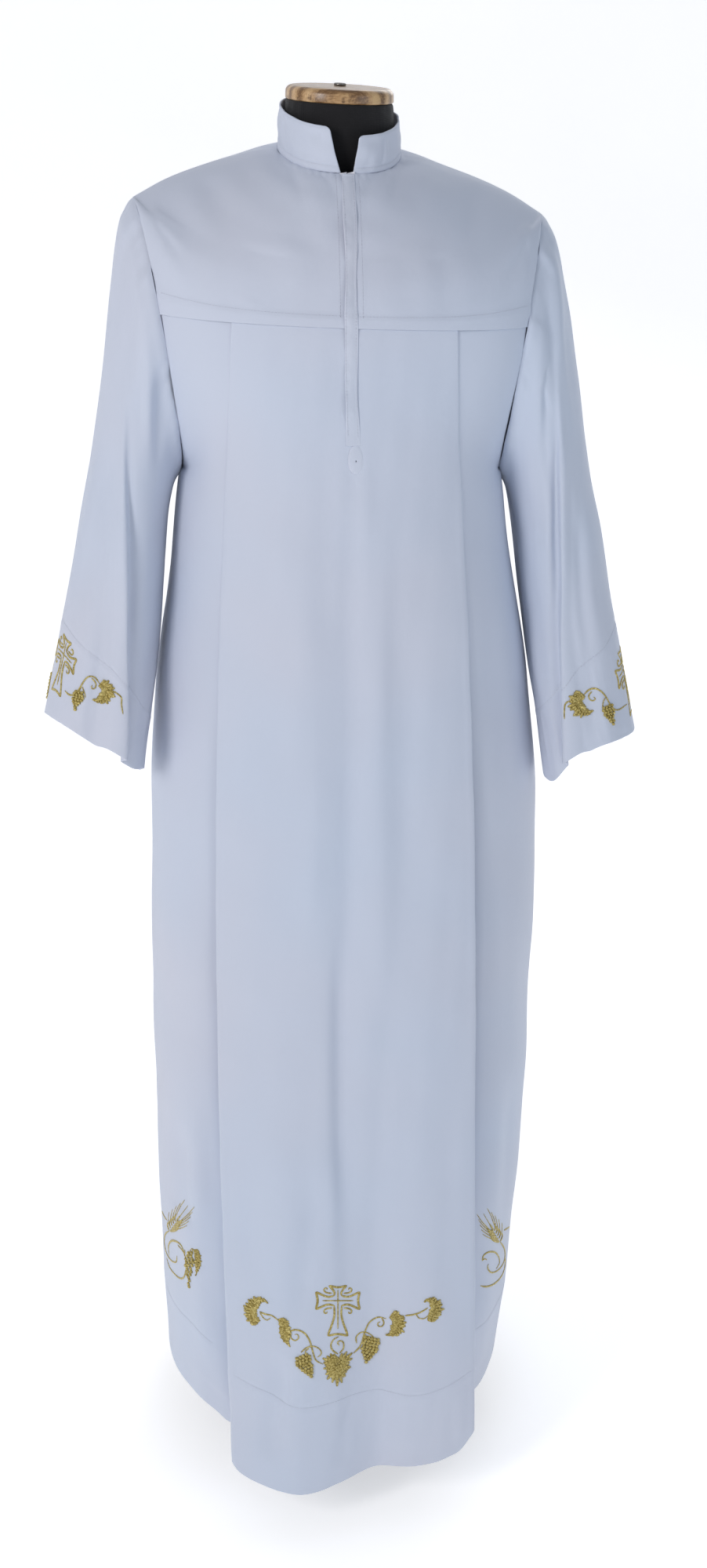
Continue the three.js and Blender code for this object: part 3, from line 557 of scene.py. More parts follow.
def cloth(name, tint=(1, 1, 1), ground=(0.560, 0.625, 0.745), warm=(0.610, 0.620, 0.705)):
    m = Nodes(name)
    where = m.place()
    broad = m.noise(where, 3.2, 2.0)
    fine = m.noise(where, 220.0, 2.0, 0.6)
    slub = m.noise(m.place((1, 1, 0.12)), 900.0, 2.0, 0.6)
    scale = lambda c: tuple(a * b for a, b in zip(c, tint))
    c = m.mix(m.math("MULTIPLY", m.math("SUBTRACT", broad, 0.32), 1.9), scale(ground), scale(warm))
    c = m.mix(m.math("MULTIPLY", fine, 0.10), c, scale((0.50, 0.54, 0.65)))
    soft = m.bump(m.noise(where, 46.0, 3.0, 0.55), 0.20, 0.0012)
    b = m.bump(m.math("ADD", weave(m, 0.00062), m.math("MULTIPLY", slub, 1.2)), 0.22, 0.00010, soft)
    rough = m.math("ADD", 0.54, m.math("MULTIPLY", fine, 0.16))
    return m.set(Base_Color=c, Roughness=rough, Normal=b, Sheen_Weight=0.28, Sheen_Roughness=0.42,
                 Sheen_Tint=(0.92, 0.94, 1.0, 1), Specular_IOR_Level=0.42)


def thread_material(name, light, dark, metal, rough, pitch=0.42):
    """Yarn: lines along each stitch come from the attribute `thread`, in millimetres."""
    m = Nodes(name)
    t = m.node("ShaderNodeSeparateXYZ", 0, i0=m.node("ShaderNodeAttribute", 1, _attribute_name="thread"))
    s, twist = t, t.node.outputs[1]
    ply = m.math("SINE", m.math("MULTIPLY", m.math("ADD", s, m.math("MULTIPLY", twist, 0.6)), 2 * math.pi / pitch))
    where = m.place()
    flick = m.noise(where, 1500.0, 1.0, 0.6)
    broad = m.noise(where, 160.0, 2.0)
    # painted glints: noise patches that swing the colour between the light and the dark tone, strongest on metal, as
    # painted highlight and painted shade on the thread
    painted_glint = m.noise(where, 430.0, 2.0, 0.7)
    share = m.math("ADD", m.math("MULTIPLY", ply, 0.16), m.math("MULTIPLY", m.math("SUBTRACT", flick, 0.30), 0.9))
    share = m.math("ADD", share, m.math("MULTIPLY", m.math("SUBTRACT", painted_glint, 0.46), 2.6 if metal else 0.6))
    share = m.node("ShaderNodeClamp", 0, Value=share)
    c = m.mix(share, dark, light)
    c = m.mix(m.math("MULTIPLY", broad, 0.35), c, tuple((a + b) * 0.45 for a, b in zip(light, dark)))
    r = m.math("ADD", rough, m.math("MULTIPLY", flick, 0.24))
    b = m.bump(m.math("ADD", ply, m.math("MULTIPLY", flick, 2.0)), 0.55, 0.00014)
    return m.set(Base_Color=c, Metallic=metal, Roughness=r, Normal=b)


CLOTH = cloth("alb_cloth")
CLOTH_BAND = cloth("alb_cloth_band", (1.02, 1.01, 1.0))
SEWING = thread_material("alb_thread", (0.80, 0.81, 0.88), (0.52, 0.54, 0.64), 0.0, 0.40)
# gold thread: its light tone is a painted highlight and its dark tone a painted shade of the metal, mixed in patches by
# the painted glints
GOLD = thread_material("gold_thread", (1.0, 0.86, 0.36), (0.30, 0.215, 0.035), 0.50, 0.28)


def zip_material():
    m = Nodes("zip_tape")
    where = m.place()
    x = m.node("ShaderNodeSeparateXYZ", 0, i0=m.node("ShaderNodeTexCoord", 3))
    z = x.node.outputs[2]
    rib = m.math("ADD", m.math("SINE", m.math("MULTIPLY", x, 9500.0)), m.math("SINE", m.math("MULTIPLY", z, 7600.0)))
    c = m.mix(m.noise(where, 320.0, 2.0), (0.66, 0.66, 0.72), (0.80, 0.80, 0.86))
    return m.set(Base_Color=c, Roughness=0.5, Normal=m.bump(rib, 0.35, 0.00012))


def jersey():
    """Black knitted cover of the form: columns of small stitches, a little lint and an uneven cloudy tone."""
    m = Nodes("form_jersey")
    where = m.place()
    x = m.node("ShaderNodeSeparateXYZ", 0, i0=m.node("ShaderNodeTexCoord", 3))
    z = x.node.outputs[2]
    v = m.math("ABSOLUTE", m.math("SINE", m.math("MULTIPLY", x, 2600.0)))
    knit = m.math("SINE", m.math("MULTIPLY", m.math("ADD", z, m.math("MULTIPLY", v, 0.00045)), 5200.0))
    lint = m.noise(where, 700.0, 2.0, 0.75)
    cloud = m.noise(where, 22.0, 4.0, 0.6)
    c = m.mix(m.math("MULTIPLY", cloud, 0.8), (0.0045, 0.0045, 0.0052), (0.017, 0.016, 0.018))
    c = m.mix(m.node("ShaderNodeMath", _operation="GREATER_THAN", i0=lint, i1=0.735), c, (0.05, 0.05, 0.055))
    return m.set(Base_Color=c, Roughness=m.math("ADD", 0.74, m.math("MULTIPLY", cloud, 0.2)),
                 Normal=m.bump(m.math("ADD", knit, v), 0.5, 0.00022), Sheen_Weight=0.16, Sheen_Roughness=0.5, Specular_IOR_Level=0.25)


def wood():
    """Varnished pine: rings, a worn amber varnish with bare patches on its edge."""
    m = Nodes("cap_wood")
    at = m.place()
    warp = m.noise(at, 9.0, 3.0)
    x = m.node("ShaderNodeSeparateXYZ", 0, i0=at)
    y, z = x.node.outputs[1], x.node.outputs[2]
    across = m.math("ADD", m.math("MULTIPLY", y, 430.0), m.math("MULTIPLY", warp, 5.0))
    ring = m.math("SINE", m.math("ADD", across, m.math("MULTIPLY", x, 24.0)))
    grain = m.noise(m.place((0.10, 1.0, 0.6)), 900.0, 3.0, 0.6)
    c = m.ramp(m.math("ADD", m.math("MULTIPLY", ring, 0.24), m.math("MULTIPLY", grain, 0.85)), [
        (0.18, (0.165, 0.082, 0.028)), (0.45, (0.42, 0.250, 0.110)), (0.72, (0.60, 0.400, 0.205))])
    blot = m.noise(at, 62.0, 4.0, 0.62)
    edge = m.math("SUBTRACT", 1.0, m.math("ABSOLUTE", m.node("ShaderNodeSeparateXYZ", 2, i0=m.node("ShaderNodeNewGeometry", 1))))
    dark = m.ramp(m.math("MULTIPLY", blot, m.math("ADD", 0.66, m.math("MULTIPLY", edge, 0.30))), [(0.52, (0, 0, 0)), (0.62, (1, 1, 1))])
    c = m.mix(dark, c, m.mix(grain, (0.085, 0.040, 0.014), (0.17, 0.085, 0.032)))
    bare = m.ramp(m.noise(at, 34.0, 3.0, 0.6), [(0.56, (0, 0, 0)), (0.62, (1, 1, 1))])
    c = m.mix(m.math("MULTIPLY", bare, m.math("MULTIPLY", edge, 0.75)), c, (0.60, 0.40, 0.19))
    r = m.math("ADD", 0.24, m.math("MULTIPLY", blot, 0.26))
    return m.set(Base_Color=c, Roughness=r, Normal=m.bump(m.math("ADD", grain, m.math("MULTIPLY", ring, 0.3)), 0.3, 0.0004),
                 Coat_Weight=0.35, Coat_Roughness=0.22)


def steel(name, light, dark, metal, rough, wear=0.5):
    m = Nodes(name)
    at = m.place()
    scratch = m.noise(m.place((1, 1, 0.08)), 420.0, 4.0, 0.65)
    spot = m.noise(at, 60.0, 4.0, 0.65)
    c = m.mix(m.math("MULTIPLY", scratch, wear), dark, light)
    return m.set(Base_Color=c, Metallic=metal, Roughness=m.math("ADD", rough, m.math("MULTIPLY", spot, 0.28)),
                 Normal=m.bump(m.math("ADD", scratch, spot), 0.18, 0.0003))


ZIP, JERSEY, WOOD = zip_material(), jersey(), wood()
STUD = steel("stud_steel", (0.50, 0.48, 0.45), (0.16, 0.15, 0.14), 0.92, 0.26)
STAND = steel("stand_steel", (0.13, 0.13, 0.135), (0.05, 0.05, 0.053), 0.75, 0.30)
PAINT = steel("stand_paint", (0.040, 0.040, 0.043), (0.018, 0.018, 0.020), 0.25, 0.42)


# ---------------------------------------------------------------- cloth
WALL_HEM = 1.45                # the hem is turned up: two layers
HEM_SEAM = Table("x z", [(-156, 186), (-112, 182), (-90, 174), (-19, 168), (20, 163), (72, 156), (139, 160)])
SIDE_SEAM_Z = 166.0            # the same seam on the sides and the back


def rim_wall(wall, e, thick=WALL_HEM):
    """Wall near an edge, e millimetres from it: the fold of the hem is round."""
    return np.where(e < 1.6, 0.45 + (thick - 0.45) * np.sqrt(np.clip(1 - (1 - np.clip(e / 1.6, 0, 1)) ** 2, 0, 1)), wall)


def hem_line(z, seam, depth=0.55, w=1.5):
    """The seam of the hem is drawn in a little, with the turned-up cloth slightly fuller under it."""
    d = z - seam
    return -depth * bump(d, 0, w) + 0.30 * bump(d, -4.5, 4) + 0.16 * bump(d, 5, 5)


EDGE_STEPS = np.array([1.7, 0.9, 0.35, 0.0])


def relax(g, share, times):
    """Rows drawn towards the mean of their neighbours, so the cloth rounds over a change of slope."""
    g, w = g.copy(), (np.broadcast_to(share, g.shape[:2])[1:-1] * 0.5)[..., None]
    for _ in range(times):
        g[1:-1] += w * ((g[:-2] + g[2:]) / 2 - g[1:-1])
    return g

# front of the skirt: side parts, two folded pleats and the centre panel
LOWER_V = np.concatenate([
    np.linspace(V_YOKE - 0.011, float(v_row(ZIP_END_Z)), 15), np.linspace(float(v_row(ZIP_END_Z)), 3, 9)[1:],
    v_of(np.linspace(ARMPIT_Z, 440, 90))[1:], v_of(np.linspace(440, HEM_Z + 4, 92))[1:], v_of(HEM_Z + EDGE_STEPS)])[:, None]


def front_grid():
    v = LOWER_V
    z = row_z(v)
    r, top = PANEL("r", z), topness(z)
    down = 4 * r * top
    k = np.where(v > 3, 1.0, WRAP("k", v))
    shift = np.where(v > 3, SKIRT("shift", z), 0.0)
    xe = base(v, np.ones_like(v), True)[..., 0] - shift
    out = []

    def add(p, x, kind):
        out.append((p, np.broadcast_to(x, v.shape), np.full(v.shape, kind)))

    def pleat(s):
        xo, tuck = PANEL("xl" if s < 0 else "xr", z), PANEL("tuck", z)
        xi, x2 = xo - s * tuck, xo - s * r
        a0, D = np.abs(u_at(v, xi)), panel_off(x2, z)
        for a in np.linspace(1, 0, 35)[:-1]:
            u = s * (a0 + (1 - a0) * u_of(a, k))
            p = base(v, u, True)
            p[..., 1] += down * (1 - smooth(0, 70, (np.abs(u) - a0) * xe))
            add(p, u * xe + shift, 0)
        for q in np.radians(np.linspace(0, 180, 7)):
            x = xi - s * r * np.sin(q)
            add(front_point(v, x, r - r * np.cos(q) - down, 0.0), x, 1)
        for t in np.linspace(0, 1, 10)[1:-1]:
            x = xi + (x2 - xi) * t
            add(front_point(v, x, (2 * r - down) * (1 - t) + (D - 2 * r) * t, t), x, 2)
        for q in np.radians(np.linspace(0, 180, 9)):
            x = x2 + s * r * np.sin(q)
            add(front_point(v, x, D - r - r * np.cos(q), 1.0), x, 3)

    pleat(-1)
    xl, xr = PANEL("xl", z) + r, PANEL("xr", z) - r
    for t in np.linspace(0, 1, 54)[1:]:
        x = xl * (1 - t)
        add(front_point(v, x, panel_off(x, z)), x, 4)
    for t in np.linspace(0, 1, 50)[:-1]:
        x = 4 + (xr - 4) * t
        add(front_point(v, x, panel_off(x, z)), x, 4)
    left = len(out)
    pleat(1)
    out[left:] = out[left:][::-1]
    g = np.stack([p[:, 0] for p, _, _ in out], 1)
    X, K = (np.concatenate([o[i] for o in out], 1) for i in (1, 2))
    return tilt(g), X, np.broadcast_to(z, X.shape), K


# soft creases of the panel, in its own plane: x across, z the nominal height; ends fade
PANEL_CREASES = [
    ([(2, 1240), (-4, 1000), (-9, 720), (-16, 470)], 17, -3.4, 15, (0.25, 0.3)),
    ([(-44, 1250), (-46, 900), (-44, 560)], 15, 2.0, 22, (0.3, 0.4)),
    ([(31, 1250), (30, 900), (24, 560)], 13, 2.0, 14, (0.3, 0.4)),
    ([(56, 1200), (60, 900), (62, 600)], 20, -2.0, 18, (0.3, 0.4)),
    ([(-34, 640), (-37, 450), (-36, 300), (-30, 30)], 18, 4.2, 85, (0.35, 0.02)),
    ([(-19, 760), (-21, 520), (-19, 420), (-22, 330)], 13, -3.6, 9, (0.3, 0.35)),
    ([(-36, 640), (-40, 450), (-43, 350)], 14, 1.5, 16, (0.3, 0.4)),
    ([(10, 700), (8, 480), (2, 340)], 16, 1.5, 14, (0.3, 0.5)),
    ([(-44, 470), (-62, 345), (-80, 270)], 14, -3.0, 17, (0.35, 0.3)),
    ([(-98, 246), (-94, 205), (-101, 150), (-114, 90)], 11, -4.0, 15, (0.3, 0.3)),
    ([(-128, 470), (-124, 330), (-122, 300)], 14, -1.1, 12, (0.4, 0.3)),
    ([(-86, 560), (-92, 400), (-94, 300)], 17, 1.4, 20, (0.4, 0.3)),
    ([(-8, 170), (-22, 120), (-26, 80)], 13, -1.5, 18, (0.3, 0.2)),
    ([(58, 230), (52, 150), (50, 80)], 18, 1.2, 20, (0.3, 0.1)),
    ([(100, 600), (104, 360), (108, 200)], 22, -1.6, 18, (0.3, 0.4)),
    ([(76, 780), (80, 560), (70, 400)], 24, 1.4, 22, (0.4, 0.4)),
    ([(112, 170), (122, 110), (124, 70)], 12, 1.3, 14, (0.4, 0.2)),
    ([(-60, 1240), (-66, 1000), (-70, 820)], 20, 1.2, 22, (0.3, 0.4)),
    ([(40, 1150), (48, 900), (52, 700)], 24, -1.2, 20, (0.3, 0.4)),
    ([(14, 1300), (16, 1150), (12, 960)], 9, 0.9, 12, (0.2, 0.5)),
    ([(-22, 1290), (-26, 1120), (-22, 900)], 13, -0.8, 16, (0.2, 0.5)),
    ([(2, 1284), (3, 1240), (1, 1170)], 7, -0.7, 9, (0.05, 0.7)),
]
# small radiating puckers round the embroidery: place, angle, length, depth
PUCKERS = [
    (-136, 292, 150, 14, -0.5), (-104, 300, 60, 16, -0.45), (-96, 246, 250, 22, 0.6), (-84, 230, 235, 26, -0.6), (-62, 318, 120, 20, -0.5),
    (-48, 334, 100, 16, 0.4), (-4, 330, 75, 18, -0.45), (14, 306, 30, 22, 0.45), (24, 268, 20, 20, -0.45), (-30, 168, 262, 22, 0.6),
    (-12, 162, 250, 26, -0.75), (34, 196, 310, 16, 0.5), (60, 236, 300, 18, -0.4), (104, 262, 340, 18, -0.4), (100, 286, 45, 16, 0.4),
    (-126, 250, 250, 18, 0.45), (-62, 196, 255, 16, -0.5), (-40, 196, 268, 16, 0.5),
]


def lower_front():
    g, X, Z, K = front_grid()
    on = np.where(K == 4, 1.0, 0.0)
    xl, xr = PANEL("xl", Z), PANEL("xr", Z)
    fade = smooth(0, 26, X - xl) * smooth(0, 26, xr - X) * on
    d = np.zeros(X.shape)
    for pts, w, out, w2, ends in PANEL_CREASES:
        d += crease(X, Z, pts, w, out, w2, ends)
    d *= 1.35 * fade
    for x, z, q, n, out in PUCKERS:
        c, s = math.cos(math.radians(q)), math.sin(math.radians(q))
        a, b = (X - x) * c + (Z - z) * s, -(X - x) * s + (Z - z) * c
        d += on * out * bump(b, 0, 3.2) * smooth(-3, 3, a) * np.exp(-np.clip(a, 0, None) / n)
    # the fold lines of the pleats stay a little proud of the panel
    d += on * 0.5 * (bump(X - xl, 3, 3.5) + bump(xr - X, 3, 3.5)) * (1 - topness(Z))
    # round the zip's end
    d += on * (0.5 * bump(X, 4, 9) * bump(Z, 1275, 16) - 0.5 * bump(X, 1, 14) * bump(Z, 1250, 20))
    # under the yoke seam the cloth comes out from behind the band
    side = (K == 0)
    d += np.where(side, 1.1 * noise(X, Z * 0.4, 70, 3), 0) * smooth(0, 60, np.minimum(1403 - Z, 400)) * 0.6
    for pts, w, out, w2, ends in SIDE_CREASES:
        d += np.where(side, crease(X, Z, pts, w, out, w2, ends), 0)
    # the sides sink in where they pass behind the panel
    sunk = np.where(X < 0, 0.65 * smooth(-44, 1, X - xl) + 0.35 * smooth(-13, 0, X - xl), 0.6 * smooth(36, -1, X - xr) + 0.4 * smooth(12, 0, X - xr)) * smooth(1150, 480, Z)
    d -= np.where(side, 16.0 * sunk, 0)
    d += 0.28 * noise(X, Z * 0.35, 46, 5) * np.where(K >= 3, 1, 0.6)
    seam = np.where(K >= 2, HEM_SEAM("x", Z * 0) * 0 + HEM_SEAM("z", X), SIDE_SEAM_Z)
    d += hem_line(Z, seam)
    d += 0.22 * bump(Z, 110, 60) * noise(X, Z * 0.2, 26, 8)
    edge = np.where(K == 0, 1 - np.abs((X - np.where(Z > ARMPIT_Z, 0, SKIRT("shift", Z))) / np.abs(g[:, :1, 0] * 0.5 - g[:, -1:, 0] * 0.5)), 1.0) * 200
    g = relax(g, bump(Z, 1222, 75) * smooth(0, 40, edge), 60)
    tucked = smooth(1392, 1403, Z)                    # what lies under the band of the yoke keeps below it
    d = d * (1 - tucked) - 1.0 * tucked
    g = push(g, d)
    # the fold under the panel goes straight back with them, and the return joins it to the panel's edge
    r, tuck = PANEL("r", Z), PANEL("tuck", Z)
    away = np.clip(np.abs(X - np.where(X < 0, xl + r, xr - r)) / (tuck - r), 0, 1)
    g[..., 1] += np.where(K == 1, 1, np.where(K == 2, away, 0)) * 16.0 * sunk
    wall = np.where(Z < seam, 1.25, WALL)
    wall = rim_wall(wall, Z - HEM_Z)
    v = LOWER_V[:, 0]
    keep = np.ones((len(v) - 1, X.shape[1] - 1), bool)
    slit = int(np.argmin(np.abs(X[0])))
    keep[: int(np.argmin(np.abs(v - float(v_row(ZIP_END_Z))))), slit] = False
    verts, faces, sharp = shell(g, wall, keep=keep)
    return piece("alb_front_lower", verts, faces, CLOTH, "alb_cloth", None, ["front_lower"])


# creases of the side parts of the front, beside the pleats
SIDE_CREASES = [
    ([(-196, 470), (-203, 390), (-199, 315)], 7, -5.0, 15, (0.4, 0.12)),
    ([(-184, 520), (-186, 400), (-180, 330)], 9, 3.0, 9, (0.4, 0.3)),
    ([(-166, 480), (-170, 360), (-168, 300)], 9, -2.6, 12, (0.4, 0.4)),
    ([(-214, 620), (-220, 460), (-212, 300)], 8, 1.6, 8, (0.4, 0.4)),
    ([(-160, 1120), (-176, 900), (-184, 640)], 16, -3.0, 22, (0.3, 0.4)),
    ([(-176, 230), (-172, 150), (-166, 90)], 12, 2.0, 14, (0.3, 0.1)),
    ([(-194, 240), (-196, 170), (-186, 96)], 9, -1.8, 11, (0.3, 0.2)),
    ([(160, 1100), (176, 880), (180, 640)], 16, -2.6, 22, (0.3, 0.4)),
    ([(170, 560), (178, 420), (172, 320)], 10, 2.2, 12, (0.4, 0.4)),
    ([(188, 520), (192, 380), (184, 260)], 9, -2.2, 12, (0.4, 0.4)),
    ([(160, 260), (160, 180), (154, 90)], 12, 1.6, 14, (0.3, 0.1)),
]
FRONT_LOWER = lower_front()

# ---------------------------------------------------------------- back, one piece from the neck to the hem
BACK_V = np.concatenate([
    [0.0, 0.012, 0.03], np.linspace(0.06, 2, 30), np.linspace(2, 3, 30)[1:], v_of(np.linspace(ARMPIT_Z, HEM_Z + 4, 124))[1:],
    v_of(HEM_Z + EDGE_STEPS)])[:, None]
BACK_CREASES = [
    ([(-120, 1430), (-112, 1330), (-96, 1240)], 12, 3.6, 16, (0.3, 0.5)),
    ([(-148, 1390), (-130, 1300), (-122, 1190)], 10, -3.2, 14, (0.3, 0.5)),
    ([(-158, 1310), (-138, 1240), (-134, 1130)], 10, 3.4, 12, (0.2, 0.5)),
    ([(128, 1430), (116, 1320), (104, 1210)], 13, 4.0, 16, (0.3, 0.5)),
    ([(150, 1370), (134, 1290), (126, 1180)], 10, -3.4, 14, (0.3, 0.5)),
    ([(160, 1300), (146, 1220), (140, 1090)], 10, 3.0, 12, (0.2, 0.5)),
    ([(-30, 1500), (-24, 1430), (-20, 1330)], 16, 1.4, 18, (0.3, 0.5)),
    ([(26, 1510), (22, 1440), (20, 1340)], 15, 1.2, 18, (0.3, 0.5)),
    ([(-60, 1200), (-66, 960), (-58, 700)], 12, -2.8, 16, (0.4, 0.4)),
    ([(-28, 1100), (-30, 860), (-24, 560)], 12, 2.4, 12, (0.4, 0.4)),
    ([(34, 1180), (40, 900), (36, 640)], 12, 2.8, 14, (0.4, 0.4)),
    ([(60, 1060), (62, 800), (70, 520)], 10, -2.6, 14, (0.4, 0.4)),
    ([(-100, 900), (-112, 640), (-120, 380)], 13, -3.2, 16, (0.4, 0.3)),
    ([(-136, 760), (-150, 500), (-158, 260)], 12, 2.8, 14, (0.4, 0.3)),
    ([(96, 880), (110, 620), (116, 330)], 12, 3.2, 15, (0.4, 0.3)),
    ([(134, 800), (146, 560), (150, 300)], 12, -2.8, 14, (0.4, 0.3)),
    ([(0, 640), (4, 400), (-2, 130)], 12, 2.0, 14, (0.4, 0.1)),
]


def flat_row_z(v, front=False):
    return np.where(v <= 3, (FRONT if front else BACK)("z", np.minimum(v, 3)), height_of(np.maximum(v, 3)))


def back_piece():
    v = BACK_V
    k = np.where(v > 3, 1.0, WRAP("k", v))
    a = np.concatenate([[-1, -0.9985, -0.995], np.linspace(-0.99, 0.99, 178), [0.995, 0.9985, 1]])[None]
    u = u_of(a, k)
    g = tilt(base(v, u, False))
    X, Z = g[..., 0], flat_row_z(v) + 0 * u
    e = (1 - np.abs(u)) * np.abs(base(v, np.ones_like(v), False)[..., 0])
    d = np.zeros(X.shape)
    for pts, w, out, w2, ends in BACK_CREASES:
        d += crease(X, Z, pts, w, out, w2, ends)
    d *= smooth(4, 30, e) * smooth(0.05, 0.5, v)
    d += 0.5 * noise(X, Z * 0.4, 60, 11) * smooth(0, 30, e)
    d += hem_line(Z, SIDE_SEAM_Z) + 0.2 * bump(Z, 110, 60) * noise(X, Z * 0.2, 26, 9)
    d -= 0.75 * bump(e, 0, 1.6)                      # side, shoulder and armhole seams
    d -= 0.7 * bump(v, 0, 0.03)
    d += 0.35 * noise(X * 1.0, Z * 0.1, 9, 12) * bump(v, 0.05, 0.1)
    turn = np.maximum(bump(Z, 1222, 75), bump(v, 2, 0.5)) * smooth(2, 50, e) * smooth(0.2, 0.6, v)
    g = push(relax(g, turn, 60), d, flip=True)
    wall = rim_wall(np.where(Z < SIDE_SEAM_Z, 1.25, WALL), Z - HEM_Z)
    verts, faces, sharp = shell(g, wall, flip=True)
    return piece("alb_back", verts, faces, CLOTH, "alb_cloth", None, ["back"])


BACK_PIECE = back_piece()

# ---------------------------------------------------------------- yokes, left and right of the zip
YOKE_V = np.concatenate([[0.0, 0.02, 0.05], np.linspace(0.09, 2, 44), np.linspace(2, V_YOKE - 0.03, 30)[1:],
                         V_YOKE + np.array([-0.022, -0.014, -0.007, 0.0, 0.006, 0.010, 0.012])])[:, None]
# creases of the yokes: u across from the slit to the seam, v down
YOKE_CREASES = {
    -1: [([(-56, 0.1), (-48, 0.7), (-40, 1.3)], 6, -0.9, 8, (0.05, 0.7)), ([(-66, 0.3), (-92, 0.9), (-112, 1.5)], 15, 1.5, 17, (0.3, 0.6)),
         ([(-24, 0.1), (-14, 0.5), (-9, 1.2)], 4.5, -0.7, 6, (0.05, 0.7)), ([(-38, 0.1), (-30, 0.9), (-20, 2.1)], 14, 0.9, 12, (0.2, 0.4)),
         ([(-206, 1.98), (-186, 2.06), (-160, 2.16)], 7, 1.5, 9, (0.15, 0.7)), ([(-200, 2.10), (-182, 2.17), (-160, 2.25)], 5, -1.1, 6, (0.15, 0.7)),
         ([(-196, 2.24), (-180, 2.28), (-158, 2.33)], 5, 1.0, 6, (0.15, 0.7)), ([(-150, 1.0), (-134, 1.5), (-118, 2.1)], 20, -1.3, 22, (0.3, 0.4)),
         ([(-70, 1.5), (-64, 1.9), (-62, 2.3)], 20, 0.8, 22, (0.4, 0.2)), ([(-100, 1.8), (-98, 2.1), (-100, 2.36)], 13, -0.8, 15, (0.4, 0.1))],
    1: [([(60, 0.1), (50, 0.6), (44, 1.2)], 6, -0.9, 8, (0.05, 0.7)), ([(68, 0.3), (94, 0.9), (114, 1.5)], 15, 1.5, 17, (0.3, 0.6)),
        ([(30, 0.1), (20, 0.6), (16, 1.4)], 5, -0.8, 6, (0.05, 0.7)), ([(44, 0.1), (34, 0.9), (26, 2.2)], 14, 0.8, 12, (0.2, 0.4)),
        ([(206, 1.98), (188, 2.05), (162, 2.15)], 7, 1.6, 9, (0.15, 0.7)), ([(200, 2.12), (184, 2.18), (160, 2.26)], 5, -1.2, 6, (0.15, 0.7)),
        ([(198, 2.26), (182, 2.30), (160, 2.34)], 5, 1.0, 6, (0.15, 0.7)), ([(154, 1.0), (136, 1.5), (120, 2.1)], 20, -1.3, 22, (0.3, 0.4)),
        ([(74, 1.5), (68, 1.9), (64, 2.3)], 20, 0.8, 22, (0.4, 0.2)), ([(104, 1.8), (100, 2.1), (104, 2.36)], 13, -0.8, 15, (0.4, 0.1))],
}


def yoke_piece(side):
    v = YOKE_V
    k = WRAP("k", v)
    xe = base(v, np.ones_like(v), True)[..., 0]
    edge = (SLIT_X + side * SLIT_W / 2) / xe
    a = np.concatenate([[0, 0.004, 0.012], np.linspace(0.02, 0.985, 72), [0.992, 0.997, 1]])[None]
    u = edge + side * u_of(a, k) * (1 - side * edge)
    g = tilt(base(v, u, True))
    X, V = g[..., 0], v + 0 * u
    e = np.abs((side - u) * xe)
    near = np.abs(X - (SLIT_X + side * SLIT_W / 2))
    d = np.zeros(X.shape)
    for pts, w, out, w2, ends in YOKE_CREASES[side]:
        p = [(x, 100 * q) for x, q in pts]
        d += crease(X, V * 100, p, w, out, w2, ends)
    d *= smooth(0, 14, e)
    d += 0.35 * noise(X, V * 60, 55, 21 + side) * smooth(0, 20, e)
    d += 0.30 * noise(X, V * 10, 8, 25) * bump(V, 0.08, 0.09)        # gathered a little into the collar
    d -= 0.75 * bump(e, 0, 1.6) + 0.6 * bump(V, 0, 0.03)
    # the lower edge lies on the skirt in a flat band, with its line of stitching above
    z = FRONT("z", V) - float(FRONT("z", V_YOKE))
    d = d * smooth(2, 16, z) + 1.0 * (1 - smooth(9.0, 12.5, z)) - 0.5 * bump(z, 9.5, 1.0)
    d += 0.35 * bump(near, 6.5, 2.5) - 0.4 * bump(near, 9.8, 0.9)     # topstitching beside the zip
    wall = np.where(z < 9.5, 1.35, WALL)
    g = push(relax(g, smooth(4, 60, e) * smooth(0.5, 1.3, V) * (1 - smooth(2.22, 2.36, V)), 70), d, flip=side < 0)
    if side < 0:
        g, wall = g[:, ::-1], wall[:, ::-1]
    verts, faces, sharp = shell(g, wall)
    name = "left" if side < 0 else "right"
    return piece("alb_yoke_" + name, verts, faces, CLOTH, "alb_cloth", None, ["yoke_" + name])


YOKES = {s: yoke_piece(s) for s in (-1, 1)}

# ---------------------------------------------------------------- sleeves
SLEEVE_S = np.concatenate([[0.0, 0.002, 0.005, 0.010], np.linspace(0.018, 0.988, 132), [0.9925, 0.9960, 0.9985, 1.0]])[:, None]
# the cuff's seam line: how far up the sleeve it runs, by angle
CUFF_SEAM = {-1: Table("deg s", [(-180, 0.80), (-90, 0.80), (0, 0.80), (60, 0.805), (125, 0.765), (180, 0.80)]),
             1: Table("deg s", [(-180, 0.78), (-90, 0.78), (0, 0.79), (60, 0.80), (125, 0.765), (180, 0.78)])}
